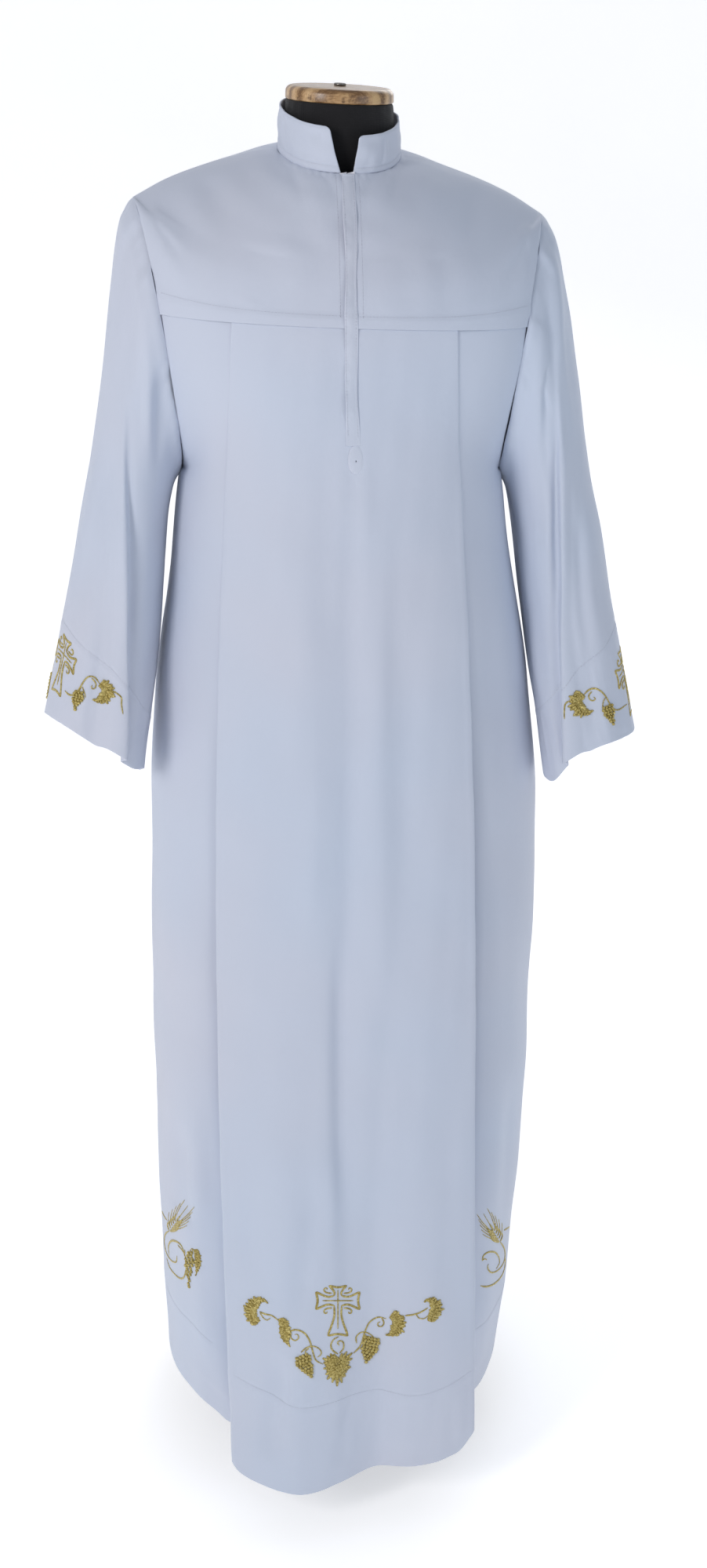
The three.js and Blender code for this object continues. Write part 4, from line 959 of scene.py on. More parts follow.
# creases in the sleeve's own plane: angle in degrees, distance down the sleeve in per cent
SLEEVE_CREASES = {
    -1: [([(24, 3), (44, 9), (60, 17), (74, 27)], 13, -4.6, 12, (0.15, 0.4)), ([(52, 0), (84, 6), (96, 15), (112, 24)], 9, 3.4, 9, (0.1, 0.4)),
         ([(96, 1), (108, 8), (122, 18)], 8, -3.2, 10, (0.2, 0.4)), ([(14, 10), (22, 28), (30, 46)], 12, 2.4, 14, (0.3, 0.4)),
         ([(60, 34), (56, 54), (58, 76)], 9, -1.6, 12, (0.3, 0.3)), ([(84, 40), (80, 60), (84, 80)], 10, 1.8, 10, (0.3, 0.3)),
         ([(40, 44), (36, 66), (40, 84)], 10, 1.5, 12, (0.3, 0.3)), ([(112, 36), (112, 60), (110, 86)], 8, -1.6, 9, (0.2, 0.3)),
         ([(160, 52), (166, 70), (164, 90)], 9, 1.8, 11, (0.3, 0.3)), ([(150, 74), (158, 84), (162, 92)], 7, -1.2, 9, (0.3, 0.3)),
         ([(-30, 4), (-48, 16), (-58, 34)], 11, -3.4, 12, (0.2, 0.4)), ([(-70, 2), (-84, 14), (-92, 30)], 10, 3.4, 10, (0.2, 0.4)),
         ([(-110, 4), (-118, 18), (-124, 36)], 9, -3.0, 10, (0.2, 0.4)), ([(-20, 46), (-26, 66), (-24, 90)], 11, -2.0, 12, (0.3, 0.2)),
         ([(-60, 52), (-70, 72), (-74, 94)], 10, 2.4, 11, (0.3, 0.1)), ([(-150, 40), (-154, 64), (-150, 90)], 10, -2.4, 12, (0.3, 0.2))],
    1: [([(26, 2), (36, 8), (50, 16), (64, 24)], 10, 3.0, 12, (0.2, 0.4)), ([(40, 1), (56, 7), (66, 13), (72, 20)], 8, -3.6, 9, (0.15, 0.3)),
        ([(70, 0), (82, 5), (88, 10), (86, 15)], 8, 3.6, 8, (0.15, 0.3)), ([(80, 15), (92, 20), (104, 26)], 7, -3.2, 8, (0.2, 0.4)),
        ([(6, 12), (8, 28), (14, 44)], 12, 2.6, 14, (0.3, 0.4)), ([(72, 26), (70, 42), (68, 60)], 9, 2.0, 9, (0.3, 0.4)),
        ([(46, 40), (44, 60), (46, 84)], 11, -1.7, 13, (0.3, 0.3)), ([(22, 50), (24, 70), (28, 92)], 11, 1.8, 13, (0.3, 0.3)),
        ([(100, 34), (104, 58), (102, 84)], 7, -1.8, 8, (0.2, 0.3)), ([(150, 44), (158, 66), (156, 90)], 9, 1.8, 10, (0.3, 0.3)),
        ([(30, 86), (22, 92), (18, 99)], 6, -1.8, 9, (0.3, 0.05)), ([(64, 88), (62, 94), (62, 99)], 7, 1.2, 9, (0.4, 0.05)),
        ([(-30, 4), (-44, 16), (-52, 34)], 11, -3.2, 12, (0.2, 0.4)), ([(-66, 2), (-80, 14), (-90, 30)], 10, 3.4, 10, (0.2, 0.4)),
        ([(-108, 4), (-116, 18), (-120, 36)], 9, -3.0, 10, (0.2, 0.4)), ([(-22, 44), (-30, 66), (-28, 90)], 11, -2.0, 12, (0.3, 0.2)),
        ([(-64, 50), (-74, 72), (-78, 94)], 10, 2.4, 11, (0.3, 0.1)), ([(-150, 40), (-156, 64), (-150, 90)], 10, -2.4, 12, (0.3, 0.2))],
}
CUFF_PUCKERS = {-1: [(66, 95, 255, 16, 0.6), (82, 96, 265, 14, -0.7), (92, 97, 275, 14, 0.6), (34, 93, 245, 14, -0.5), (30, 80, 120, 18, -0.6), (52, 83, 80, 16, 0.4),
                     (104, 95, 290, 12, -0.4), (116, 82, 60, 12, 0.4)],
                1: [(120, 86, 250, 14, -0.4), (96, 96, 260, 14, 0.6), (80, 99, 270, 12, -0.6), (44, 96, 250, 18, -0.9), (60, 82, 85, 16, -0.4), (34, 84, 130, 14, 0.5),
                    (108, 84, 100, 12, 0.4)]}


def sleeve_length(side):
    s = np.linspace(0, 1, 60)
    p = (sleeve_ring(s, s * 0, side) + sleeve_ring(s, s * 0 + np.pi, side)) / 2
    return float(np.linalg.norm(np.diff(p, axis=0), axis=1).sum())


def fold_at(side, s, n):
    """Angle of fold n; the first three run with the main fold, the third a little ahead of it."""
    line = FOLD_LINE[side]("deg", s)
    return line if n == 0 else line + 11 if n == 1 else line - 32 + 8 * s if n == 2 else SLEEVE_FOLDS[side].rows[n]["deg"] + 0 * s


def sleeve_surface(side, s, phi):
    """Points of the sleeve with its folds, before the fine creases."""
    s, phi = np.broadcast_arrays(np.asarray(s, float), np.asarray(phi, float))
    deg = (np.degrees(phi) + 180) % 360 - 180
    s = s * (1 - (0.026 if side < 0 else 0.003) * np.maximum(bump(deg, 178, 16), bump(deg, -182, 16)))
    lip = FOLD_LINE[side]("deg", 1.0)                # the flap's hem rises towards its free edge
    s = s - (0.017 if side < 0 else 0.020) * smooth(lip - 24, lip - 2, deg) * smooth(lip + 9, lip + 1, deg) * smooth(0.72, 1, s)
    p = sleeve_ring(s, phi, side)
    c = (sleeve_ring(s, 0 * phi, side) + sleeve_ring(s, 0 * phi + np.pi, side)) / 2
    e = 0.01
    radial, along = unit(p - c), unit(sleeve_ring(s, phi + e, side) - sleeve_ring(s, phi - e, side))
    if side > 0:                                     # the outer half of this cuff hangs lower
        down = unit(sleeve_ring(1.0 + 0 * s, phi, side) - sleeve_ring(0.9 + 0 * s, phi, side))
        p = p + down * ((17 * smooth(-150, -60, deg) * smooth(112, 40, deg) + 13 * np.maximum(bump(deg, 166, 20), bump(deg, -194, 20))) * smooth(0.70, 1, s))[..., None]
    for n, f in enumerate(SLEEVE_FOLDS[side].rows):
        q = (deg - fold_at(side, s, n) + 180) % 360 - 180
        grow = smooth(f["start"], f["start"] + 0.28, s) * (0.60 + 0.40 * s)
        p = p + radial * (f["out"] * bump(q, 0, f["w"]) * grow)[..., None]
        if f["shift"]:
            p = p + along * (f["shift"] * bump(q, 0, f["w"] * 0.8) * grow)[..., None]
    return p


def sleeve_fine(side, s, deg):
    """Depth of the fine creases at s and deg."""
    d = np.zeros(np.shape(s))
    for pts, w, out, w2, ends in SLEEVE_CREASES[side]:
        d += crease(deg, s * 100 * 1.4, [(a, b * 1.4) for a, b in pts], w, out, w2, ends)
    for a0, b0, q, n, out in CUFF_PUCKERS[side]:
        c, sn = math.cos(math.radians(q)), math.sin(math.radians(q))
        x, y = (deg - a0) * 1.7, -(s * 100 - b0) * 4.8           # millimetres, y up the sleeve
        a, b = x * c + y * sn, -x * sn + y * c
        d += out * bump(b, 0, 3.0) * smooth(-2, 3, a) * np.exp(-np.clip(a, 0, None) / n)
    return d


def sleeve_piece(side):
    s = SLEEVE_S
    deg = (np.arange(150) * 360 / 150 - 180)[None]
    # columns crowd at the overhanging fold
    f = FOLD_LINE[side]("deg", s)
    D = deg + 0 * s - 13.0 * np.sin(np.radians(deg - f - 5))
    S = s + 0 * D
    g = sleeve_surface(side, S, np.radians(D))
    length = sleeve_length(side)
    edge = (1 - S) * length
    d = sleeve_fine(side, S, D) + 0.35 * noise(D * 1.6, S * 200, 60, 31 + side)
    seam = (S - CUFF_SEAM[side]("s", D)) * -length
    d += hem_line(seam, 0.0, 0.5) + 0.18 * smooth(0, -20, seam) * noise(D * 1.6, S * 60, 24, 33)
    d -= 0.9 * bump(S, 0, 0.006) - 0.7 * bump(S, 0.018, 0.012)       # armhole seam, the sleeve a little fuller
    d += 0.25 * noise(D * 1.5, S * 100, 10, 35) * bump(S, 0.02, 0.02)
    g = push(g, d, ring=True, flip=side > 0)
    wall = rim_wall(np.where(seam < 0, 1.2, WALL), edge)
    verts, faces, sharp = shell(tilt(g), wall, ring=True, flip=side > 0)
    name = "left" if side < 0 else "right"
    return piece("alb_sleeve_" + name, verts, faces, CLOTH, "alb_cloth", None, ["sleeve_" + name])


SLEEVE_PIECES = {s: sleeve_piece(s) for s in (-1, 1)}

# ---------------------------------------------------------------- collar: a stand band with rounded front corners
COLLAR_WALL = 2.3


def collar_top(x, front):
    """The right half stands a little lower."""
    return np.where(front, COLLAR_HEIGHT - 7.5 * smooth(-8, 18, x), COLLAR_HEIGHT + 1 - 7.5 * smooth(-40, 55, x))


def collar_point(t, u, front):
    """t 0 at the neck seam to 1 at the top edge."""
    neck = upper(np.zeros_like(u), u, front)
    h = t * collar_top(neck[..., 0], front)
    x = COLLAR("x", h) / 65.0
    y = COLLAR("fy", h) / -70.0 if front else COLLAR("by", h) / 66.0
    return np.stack([neck[..., 0] * x, neck[..., 1] * y, neck[..., 2] + h], -1)


def collar_grid():
    t = np.concatenate([[0, 0.012, 0.03], np.linspace(0.06, 0.93, 34), [0.955, 0.975, 0.99, 0.997, 1.0]])[:, None]
    e = np.clip((t * COLLAR_HEIGHT - (COLLAR_HEIGHT - 5.0)) / 5.0, 0, 1)
    corner = 5.0 * (1 - np.sqrt(np.clip(1 - e * e, 0, 1)))
    l, r = (NOTCH("l", t) - corner) / 65, (NOTCH("r", t) + corner) / 65
    fine = np.concatenate([[0, 0.004, 0.012, 0.025], np.linspace(0.045, 1, 52)])
    a = fine[None]
    t2 = t + 0 * a
    right = collar_point(t2, r + u_of(a, 1, 2) * (1 - r), True)
    b = np.linspace(1, -1, 110)[None, 1:-1]
    rear = collar_point(t + 0 * b, u_of(b, 1, 2) + 0 * t, False)
    left = collar_point(t2, l - u_of(a, 1, 2) * (1 + l), True)[:, ::-1]
    g = np.concatenate([right, rear, left], 1)
    n = g.shape[1]
    length = np.concatenate([[0], np.cumsum(np.linalg.norm(np.diff(g[10], axis=0), axis=1))])
    L = np.broadcast_to(length, (len(t), n))
    T = np.broadcast_to(t * COLLAR_HEIGHT, (len(t), n))
    ends = np.minimum(L, length[-1] - L)
    top = (1 - np.broadcast_to(t, (len(t), n))) * COLLAR_HEIGHT
    d = 0.45 * noise(L, T * 1.2, 34, 41) * smooth(2, 12, T)
    d += crease(L, T, [(30, 4), (34, 22), (33, 42)], 1.6, -0.9, 2.6, (0.3, 0.1)) + crease(L, T, [(37, 6), (39, 20), (38, 40)], 3, 0.9, 3, (0.2, 0.2))
    d += crease(L, T, [(12, 2), (14, 14), (20, 30)], 4, -0.6, 5, (0.1, 0.5)) + crease(L, T, [(22, 2), (22, 16), (18, 26)], 4, 0.5, 5, (0.1, 0.5))
    w = length[-1]
    d += crease(L, T, [(w - 12, 38), (w - 20, 34), (w - 26, 31)], 3, -0.8, 4, (0.1, 0.6)) + crease(L, T, [(w - 30, 4), (w - 44, 16), (w - 64, 24)], 7, 0.9, 7, (0.2, 0.4))
    d += crease(L, T, [(w - 60, 3), (w - 70, 20), (w - 78, 40)], 6, -0.7, 8, (0.2, 0.4))
    d -= 0.55 * bump(T, 6.5, 0.8) + 0.5 * bump(T, 0, 0.8)
    d += 0.35 * smooth(6.5, 10, T)
    rim = np.minimum(np.minimum(top, ends), 2.2)
    wall = 0.7 + (COLLAR_WALL - 0.7) * np.sqrt(np.clip(1 - (1 - np.clip(rim / 1.3, 0, 1)) ** 2, 0, 1))
    return g, d, wall, L, T


def collar_piece():
    g, d, wall, L, T = collar_grid()
    verts, faces, sharp = shell(tilt(push(g, d, flip=True)), wall, flip=True)
    return piece("alb_collar", verts, faces, CLOTH, "alb_cloth", None, ["collar"])


COLLAR_PIECE = collar_piece()


# ---------------------------------------------------------------- zip under its fly
FLY = Table("v x", [(0, 2.0), (0.8, 2.4), (1.6, 2.6), (2.2, 2.0), (2.42, 0.8), (2.6, 0.8), (2.75, 1.8), (2.9, 3.4)])


def front_strip(v, x, out):
    """Points of the front at x, moved out of the cloth; below the yoke's seam on the panel."""
    v, x, out = np.broadcast_arrays(v, x, out)
    z = row_z(v)
    below = smooth(V_YOKE - 0.012, V_YOKE + 0.012, v)

    def at(xx, vv):
        xe = base(vv, np.ones_like(vv), True)[..., 0]
        return tilt(base(vv, xx / xe, True))
    p = at(x, v)
    n = unit(np.cross(at(x + 1, v) - at(x - 1, v), at(x, v - 0.004) - at(x, v + 0.004)))
    return p + n * (out + below * (4 * PANEL("r", np.minimum(z, 1403)) * (1 - topness(z))))[..., None]


def fly_piece():
    v = np.concatenate([[0.085, 0.089, 0.096], np.linspace(0.11, 2.83, 300), [2.845, 2.852, 2.856]])[:, None]
    t = np.array([0, 0.02, 0.06, 0.13, 0.24, 0.36, 0.5, 0.64, 0.76, 0.87, 0.94, 0.98, 1.0])[None]
    z = row_z(v)
    half = 6.6 + 0.35 * noise(z, z * 0, 70, 51) + 0.8 * smooth(2.55, 2.8, v)
    x = FLY("x", v) + 0.45 * noise(z, z * 0, 120, 52) + (t * 2 - 1) * half
    # the left edge stands off and waves a little, the right one is sewn down
    lift = 1.05 + (1 - t) ** 1.5 * (1.5 + 0.8 * noise(z, z * 0, 85, 53) + 0.4 * noise(z, z * 0, 31, 54)) + 0.5 * bump(t, 0.45, 0.3)
    lift = lift + 0.25 * noise(x, z, 16, 55) * (1 - t) - 0.42 * bump(t, 0.80, 0.05)
    lift = lift + 1.1 * bump(z, 1403, 9)                       # over the band of the yoke
    lift = lift * (0.55 + 0.45 * smooth(2.86, 2.74, v)) + 0.5 * smooth(0.16, 0.09, v)
    g = front_strip(v + 0 * t, x, lift)
    e = np.minimum(np.minimum(t, 1 - t) * 13, 2)
    wall = 0.4 + 0.75 * np.sqrt(np.clip(1 - (1 - np.clip(e / 0.8, 0, 1)) ** 2, 0, 1)) + 0 * v
    verts, faces, sharp = shell(g, wall)
    return piece("alb_zip_fly", verts, faces, CLOTH_BAND, "alb_cloth", None, ["zip_fly"])


def zip_tape(side):
    """One tape of the zip, behind the slit, turned out a little at the neck."""
    v = np.concatenate([np.linspace(0.015, 0.12, 12), np.linspace(0.14, 2.8, 150)])[:, None]
    t = np.linspace(0, 1, 9)[None]
    x = SLIT_X + side * (0.35 + t * 10.4)
    turn = smooth(0.13, 0.02, v)
    out = -1.75 + 0.15 * noise(x, v * 100, 20, 57 + side) + turn * (2.4 + side * 2.6 * (t - 0.3) + 0.8 * np.sin(v * 90))
    x = x - side * turn * t * 3.4
    g = front_strip(v + 0 * t, x, out)
    verts, faces, sharp = shell(g if side > 0 else g[:, ::-1], 0.55)
    return piece("zip_tape_" + ("left" if side < 0 else "right"), verts, faces, ZIP, "zip_tape", sharp, ["zip"])


def zip_coil():
    heap = Heap()
    vs = np.linspace(0.17, 2.79, 118)
    z = row_z(vs)
    for i, v in enumerate(vs):
        for side in (-1, 1):
            w = v + (0.5 if side > 0 else 0) * (vs[1] - vs[0])
            xs = SLIT_X + side * np.array([3.0, 1.6, 0.3, -0.9, -1.1])
            out = np.array([-1.1, -0.75, -0.62, -0.78, -1.15])
            p = front_strip(np.full(5, w), xs, out)
            verts, faces = tube(p, (0, -1, 0.2), 0.62, 0.6, 5)
            heap.add(verts, faces)
    return heap.object("zip_coil", ZIP, "zip_tape")


FLY_PIECE = fly_piece()
TAPES = [zip_tape(-1), zip_tape(1)]
COIL = zip_coil()


def zip_end():
    """The fold of cloth at the lower end of the fly: a small oval swelling with a seam round it."""
    heap = Heap()
    q = np.linspace(0, 2 * np.pi, 25)[:-1]
    c = panel_point(np.array(5.6), np.array(1262.0), np.array(0.5))
    rows = []
    for r in np.linspace(0.06, 1, 12):
        x, z = 5.6 + 8.6 * r * np.cos(q), 1259 + 16.5 * r * np.sin(q) * (1 + 0.12 * np.sin(q))
        rows.append(panel_point(x, z, 0.62 + 1.15 * np.sqrt(max(0, 1 - r * r)) - 0.5 * bump(r, 1.0, 0.10)))
    g = np.stack(rows, 0)
    verts, faces, sharp = shell(g, 0.5, ring=True)
    heap.add(verts, faces)
    return heap.object("zip_end_fold", CLOTH_BAND, "alb_cloth")


END_FOLD = zip_end()


# ---------------------------------------------------------------- dress form and stand
TORSO = Table("z x f b n", [
    (806, 150, 82, 92, 2.3), (830, 160, 92, 100, 2.4), (950, 168, 98, 106, 2.4), (1100, 146, 92, 96, 2.3), (1250, 158, 106, 104, 2.4),
    (1350, 172, 113, 108, 2.4), (1420, 182, 110, 110, 2.4), (1460, 184, 100, 108, 2.3), (1490, 174, 88, 102, 2.2), (1510, 150, 76, 92, 2.1),
    (1526, 121, 66, 80, 2.0), (1538, 94, 58, 68, 2.0), (1548, 70, 54, 59, 2.0), (1560, 59, 54, 56, 2.0), (1585, 58, 54.5, 56.5, 2.0),
    (1605, 57.5, 55.5, 57, 2.0), (1613.7, 56.5, 55.5, 56.5, 2.0)])


def closed_loft(rings):
    """Faces of rings joined into a closed body, with a point in the middle of each end."""
    R, C = rings.shape[:2]
    verts = np.concatenate([rings.reshape(-1, 3), rings[0].mean(0)[None], rings[-1].mean(0)[None]])
    i, j = np.meshgrid(np.arange(R - 1), np.arange(C), indexing="ij")
    k = (j + 1) % C
    quads = np.stack([i * C + j, i * C + k, (i + 1) * C + k, (i + 1) * C + j], -1).reshape(-1, 4)
    j = np.arange(C)
    k = (j + 1) % C
    caps = np.concatenate([np.stack([np.full(C, R * C), k, j], -1), np.stack([np.full(C, R * C + 1), (R - 1) * C + j, (R - 1) * C + k], -1)])
    return verts, [quads, caps]


def torso_piece():
    z = np.concatenate([[806, 806.6, 808, 811], np.linspace(816, 1540, 90), np.linspace(1544, 1611, 34), [1612.4, 1613.3, 1613.7]])[:, None]
    q = (np.arange(168) * 2 * np.pi / 168)[None]
    n = TORSO("n", z)
    c, s = np.cos(q), np.sin(q)
    inset = 3.0 * (1 - np.sqrt(np.clip(1 - (1 - np.clip((z - 806) / 3.0, 0, 1)) ** 2, 0, 1)))
    inset = inset + 1.6 * (1 - np.sqrt(np.clip(1 - (1 - np.clip((1613.7 - z) / 1.6, 0, 1)) ** 2, 0, 1)))
    x = np.sign(c) * np.abs(c) ** (2 / n) * (TORSO("x", z) - inset)
    y = np.sign(s) * np.abs(s) ** (2 / n) * (np.where(s < 0, TORSO("f", z), TORSO("b", z)) - inset)
    g = np.stack([x, y, z + 0 * x], -1)
    # faint tucks where the jersey is pulled up under the wooden cap
    d = 0.22 * np.sin(q * 23 + 1.3 * np.sin(q * 5)) * smooth(1590, 1612, z) * smooth(1614, 1611, z)
    g[..., :2] += (unit(np.stack([x, y], -1)) * d[..., None])
    verts, faces = closed_loft(tilt(g))
    return piece("form_torso_cover", verts, faces, JERSEY, "form_jersey", None, ["form_torso"])


def turned(profile, sides):
    q = np.arange(sides) * 2 * np.pi / sides
    return np.stack([np.stack([r * np.cos(q), r * np.sin(q), np.full(sides, float(z))], -1) for r, z in profile])


def round_corner(r, z, size, down=False, n=7):
    """Profile points that turn the corner (r, z) of a disc, from the side to the face."""
    a = np.linspace(0, np.pi / 2, n)
    s = -1 if down else 1
    return [(r - size + size * math.cos(t), z - s * size + s * size * math.sin(t)) for t in a]


def on_neck(p):
    """Turns with the tilted top of the neck."""
    a = math.atan(SHOULDER_TILT)
    x, z = p[..., 0], p[..., 2] - 1614
    return np.stack([x * math.cos(a) + z * math.sin(a), p[..., 1], 1614 - x * math.sin(a) + z * math.cos(a)], -1)


def cap_piece():
    low = round_corner(57.5, 1614.0, 2.2, True)[::-1]
    high = round_corner(57.3, 1628.4, 6.6, False, 11)
    top = [(46, 1628.75), (38, 1628.9), (26, 1628.96), (14, 1629.0), (8, 1629.0)]
    rings = turned([(20, 1614.0), (48, 1614.0)] + low + high + top, 144)
    q = np.arctan2(rings[..., 1], rings[..., 0])
    worn = 0.35 * np.sin(3 * q + 1.0) + 0.25 * np.sin(7 * q + 2.0) + 0.12 * np.sin(17 * q)
    edge = bump(rings[..., 2], 1624.5, 4.0) * smooth(40, 57, np.hypot(rings[..., 0], rings[..., 1]))
    rings[..., :2] *= (1 - 0.008 * (worn * edge)[..., None])
    verts, faces = closed_loft(on_neck(rings))
    return piece("neck_cap_wood", verts, faces, WOOD, "cap_wood", None, ["neck_cap"])


def stud_piece():
    """A short tube with a nut let into the wood, and the end of its screw."""
    heap = Heap()
    body = turned([(6.0, 1629.3)] + [(6.5, 1629.3 + 0.25), (6.5, 1631.2), (6.2, 1631.65), (5.6, 1631.9), (4.4, 1631.9), (4.1, 1631.7), (4.0, 1630.9)], 48)
    verts, faces = closed_loft(on_neck(body))
    heap.add(verts, faces)
    screw = turned([(3.1, 1630.7), (3.1, 1631.3), (2.6, 1631.75), (1.2, 1631.85)], 24)
    verts, faces = closed_loft(on_neck(screw))
    heap.add(verts, faces)
    return heap.object("cap_stud_metal", STUD, "stud_steel", replaces=["cap_stud"])


def stand_pieces():
    low = [(9, 44.3), (15, 44.3), (15, 60)]
    pole = turned(low + [(15.0, z) for z in np.linspace(80, 790, 36)] + [(15, 805.7), (9, 805.7)], 64)
    verts, faces = closed_loft(pole)
    a = piece("stand_pole_tube", verts, faces, STAND, "stand_steel", None, ["stand_pole"])
    disc = [(120, 0.0), (161, 0.0)] + round_corner(165, 0.0, 3.0, True)[::-1] + round_corner(165, 13.6, 4.5, False, 9)
    disc += [(150, 13.9), (90, 14.3), (44, 14.9), (38, 15.3), (34, 16.6), (31.6, 19.0), (30.6, 22), (28.4, 34), (27.2, 41.4), (26.0, 43.3), (24.2, 44.0), (15.5, 44.0)]
    verts, faces = closed_loft(turned(disc, 160))
    b = piece("stand_base_disc", verts, faces, PAINT, "stand_paint", None, ["stand_base"])
    return a, b


TORSO_PIECE, CAP_PIECE, STUD_PIECE = torso_piece(), cap_piece(), stud_piece()
STAND_PIECES = stand_pieces()


# ---------------------------------------------------------------- landing small work on the finished cloth
TREES = {}


def tree_of(ob):
    if ob.name not in TREES:
        me = ob.data
        v = np.zeros(len(me.vertices) * 3, np.float32)
        me.vertices.foreach_get("co", v)
        q = np.zeros(len(me.loops), np.int32)
        me.loops.foreach_get("vertex_index", q)
        TREES[ob.name] = BVHTree.FromPolygons((v.reshape(-1, 3) * 1000).tolist(), q.reshape(-1, 4).tolist())
    return TREES[ob.name]


def land(ob, p, n, reach=16.0):
    """Points p moved along their normals n onto the outer face of a piece; also the cloth's own normals there."""
    tree, p, n = tree_of(ob), np.asarray(p, float), np.asarray(n, float)
    out, nor, ok = p.reshape(-1, 3).copy(), n.reshape(-1, 3).copy(), np.ones(p.size // 3, bool)
    for i, (a, b) in enumerate(zip(p.reshape(-1, 3), n.reshape(-1, 3))):
        hit, face, _, _ = tree.ray_cast(Vector(a + b * reach), Vector(-b), 2 * reach)
        if hit is None:
            ok[i] = False
        else:
            out[i], nor[i] = hit, face
    return out.reshape(p.shape), unit(nor.reshape(p.shape)), ok.reshape(p.shape[:-1])


def slope(f, a, b, e=1.0, f2=None):
    """Points of a surface f(a, b) and their normals, a to the right and b up as seen from outside."""
    return f(a, b), unit(np.cross(f(a + e, b) - f(a - e, b), f(a, b + e) - f(a, b - e)))


def stitches(heap, p, n, long=2.5, pitch=3.5, wide=0.42, high=0.40, sink=0.02):
    """A row of small stitches along p, each a short fat thread that dips into the cloth at its ends."""
    step = np.linalg.norm(np.diff(p, axis=0), axis=1)
    s = np.concatenate([[0], np.cumsum(step)])
    at = lambda q, w: np.stack([np.interp(q, s, w[:, k]) for k in range(3)], -1)
    for k, a in enumerate(np.arange(0.6, s[-1] - long, pitch)):
        q = a + long * np.array([0.0, 0.14, 0.38, 0.62, 0.86, 1.0])
        if np.diff(np.interp(q, s, np.arange(len(s)))).max() < 0 or np.interp(a, s, np.append(step, 0)) > 12:
            continue
        up = unit(at(q, n))
        path = at(q, p) + up * (np.array([-0.24, 0.04, 0.13, 0.13, 0.04, -0.24]) - sink)[:, None]
        verts, faces = tube(path, up, wide * np.array([0.7, 0.95, 1, 1, 0.95, 0.7]), high, 5)
        t = np.zeros((len(verts), 3))
        t[: 5 * 6, 0] = np.repeat(q - a, 5)
        t[: 5 * 6, 1] = np.tile(np.arange(5), 6) * 0.25
        t[-1, 0] = long
        heap.add(verts, faces, t)
# ---------------------------------------------------------------- sewing thread, by seam
def sewn_row(name, ob, p, n, reach=14.0, more=(), **how):
    """Stitches along rows of points that are first landed on the piece."""
    heap = Heap()
    for q, m in [(p, n), *more]:
        q, m, ok = land(ob, q, m, reach)
        if ok.sum() > 3:
            stitches(heap, q[ok], m[ok], **how)
    return heap.object(name, SEWING, "alb_thread") if heap.n else None


def panel_row(xs, zs):
    f = lambda a, b: panel_point(a, b)
    return slope(f, xs, zs)


def side_row(us, zs, front=True):
    """Along the skirt's side parts or its back."""
    f = lambda a, b: tilt(base(v_of(b), a, front))
    p = f(us, zs)
    e = 0.002
    n = unit(np.cross(f(us + e, zs) - f(us - e, zs), f(us, zs + 1) - f(us, zs - 1)))
    return p, n if front else -n


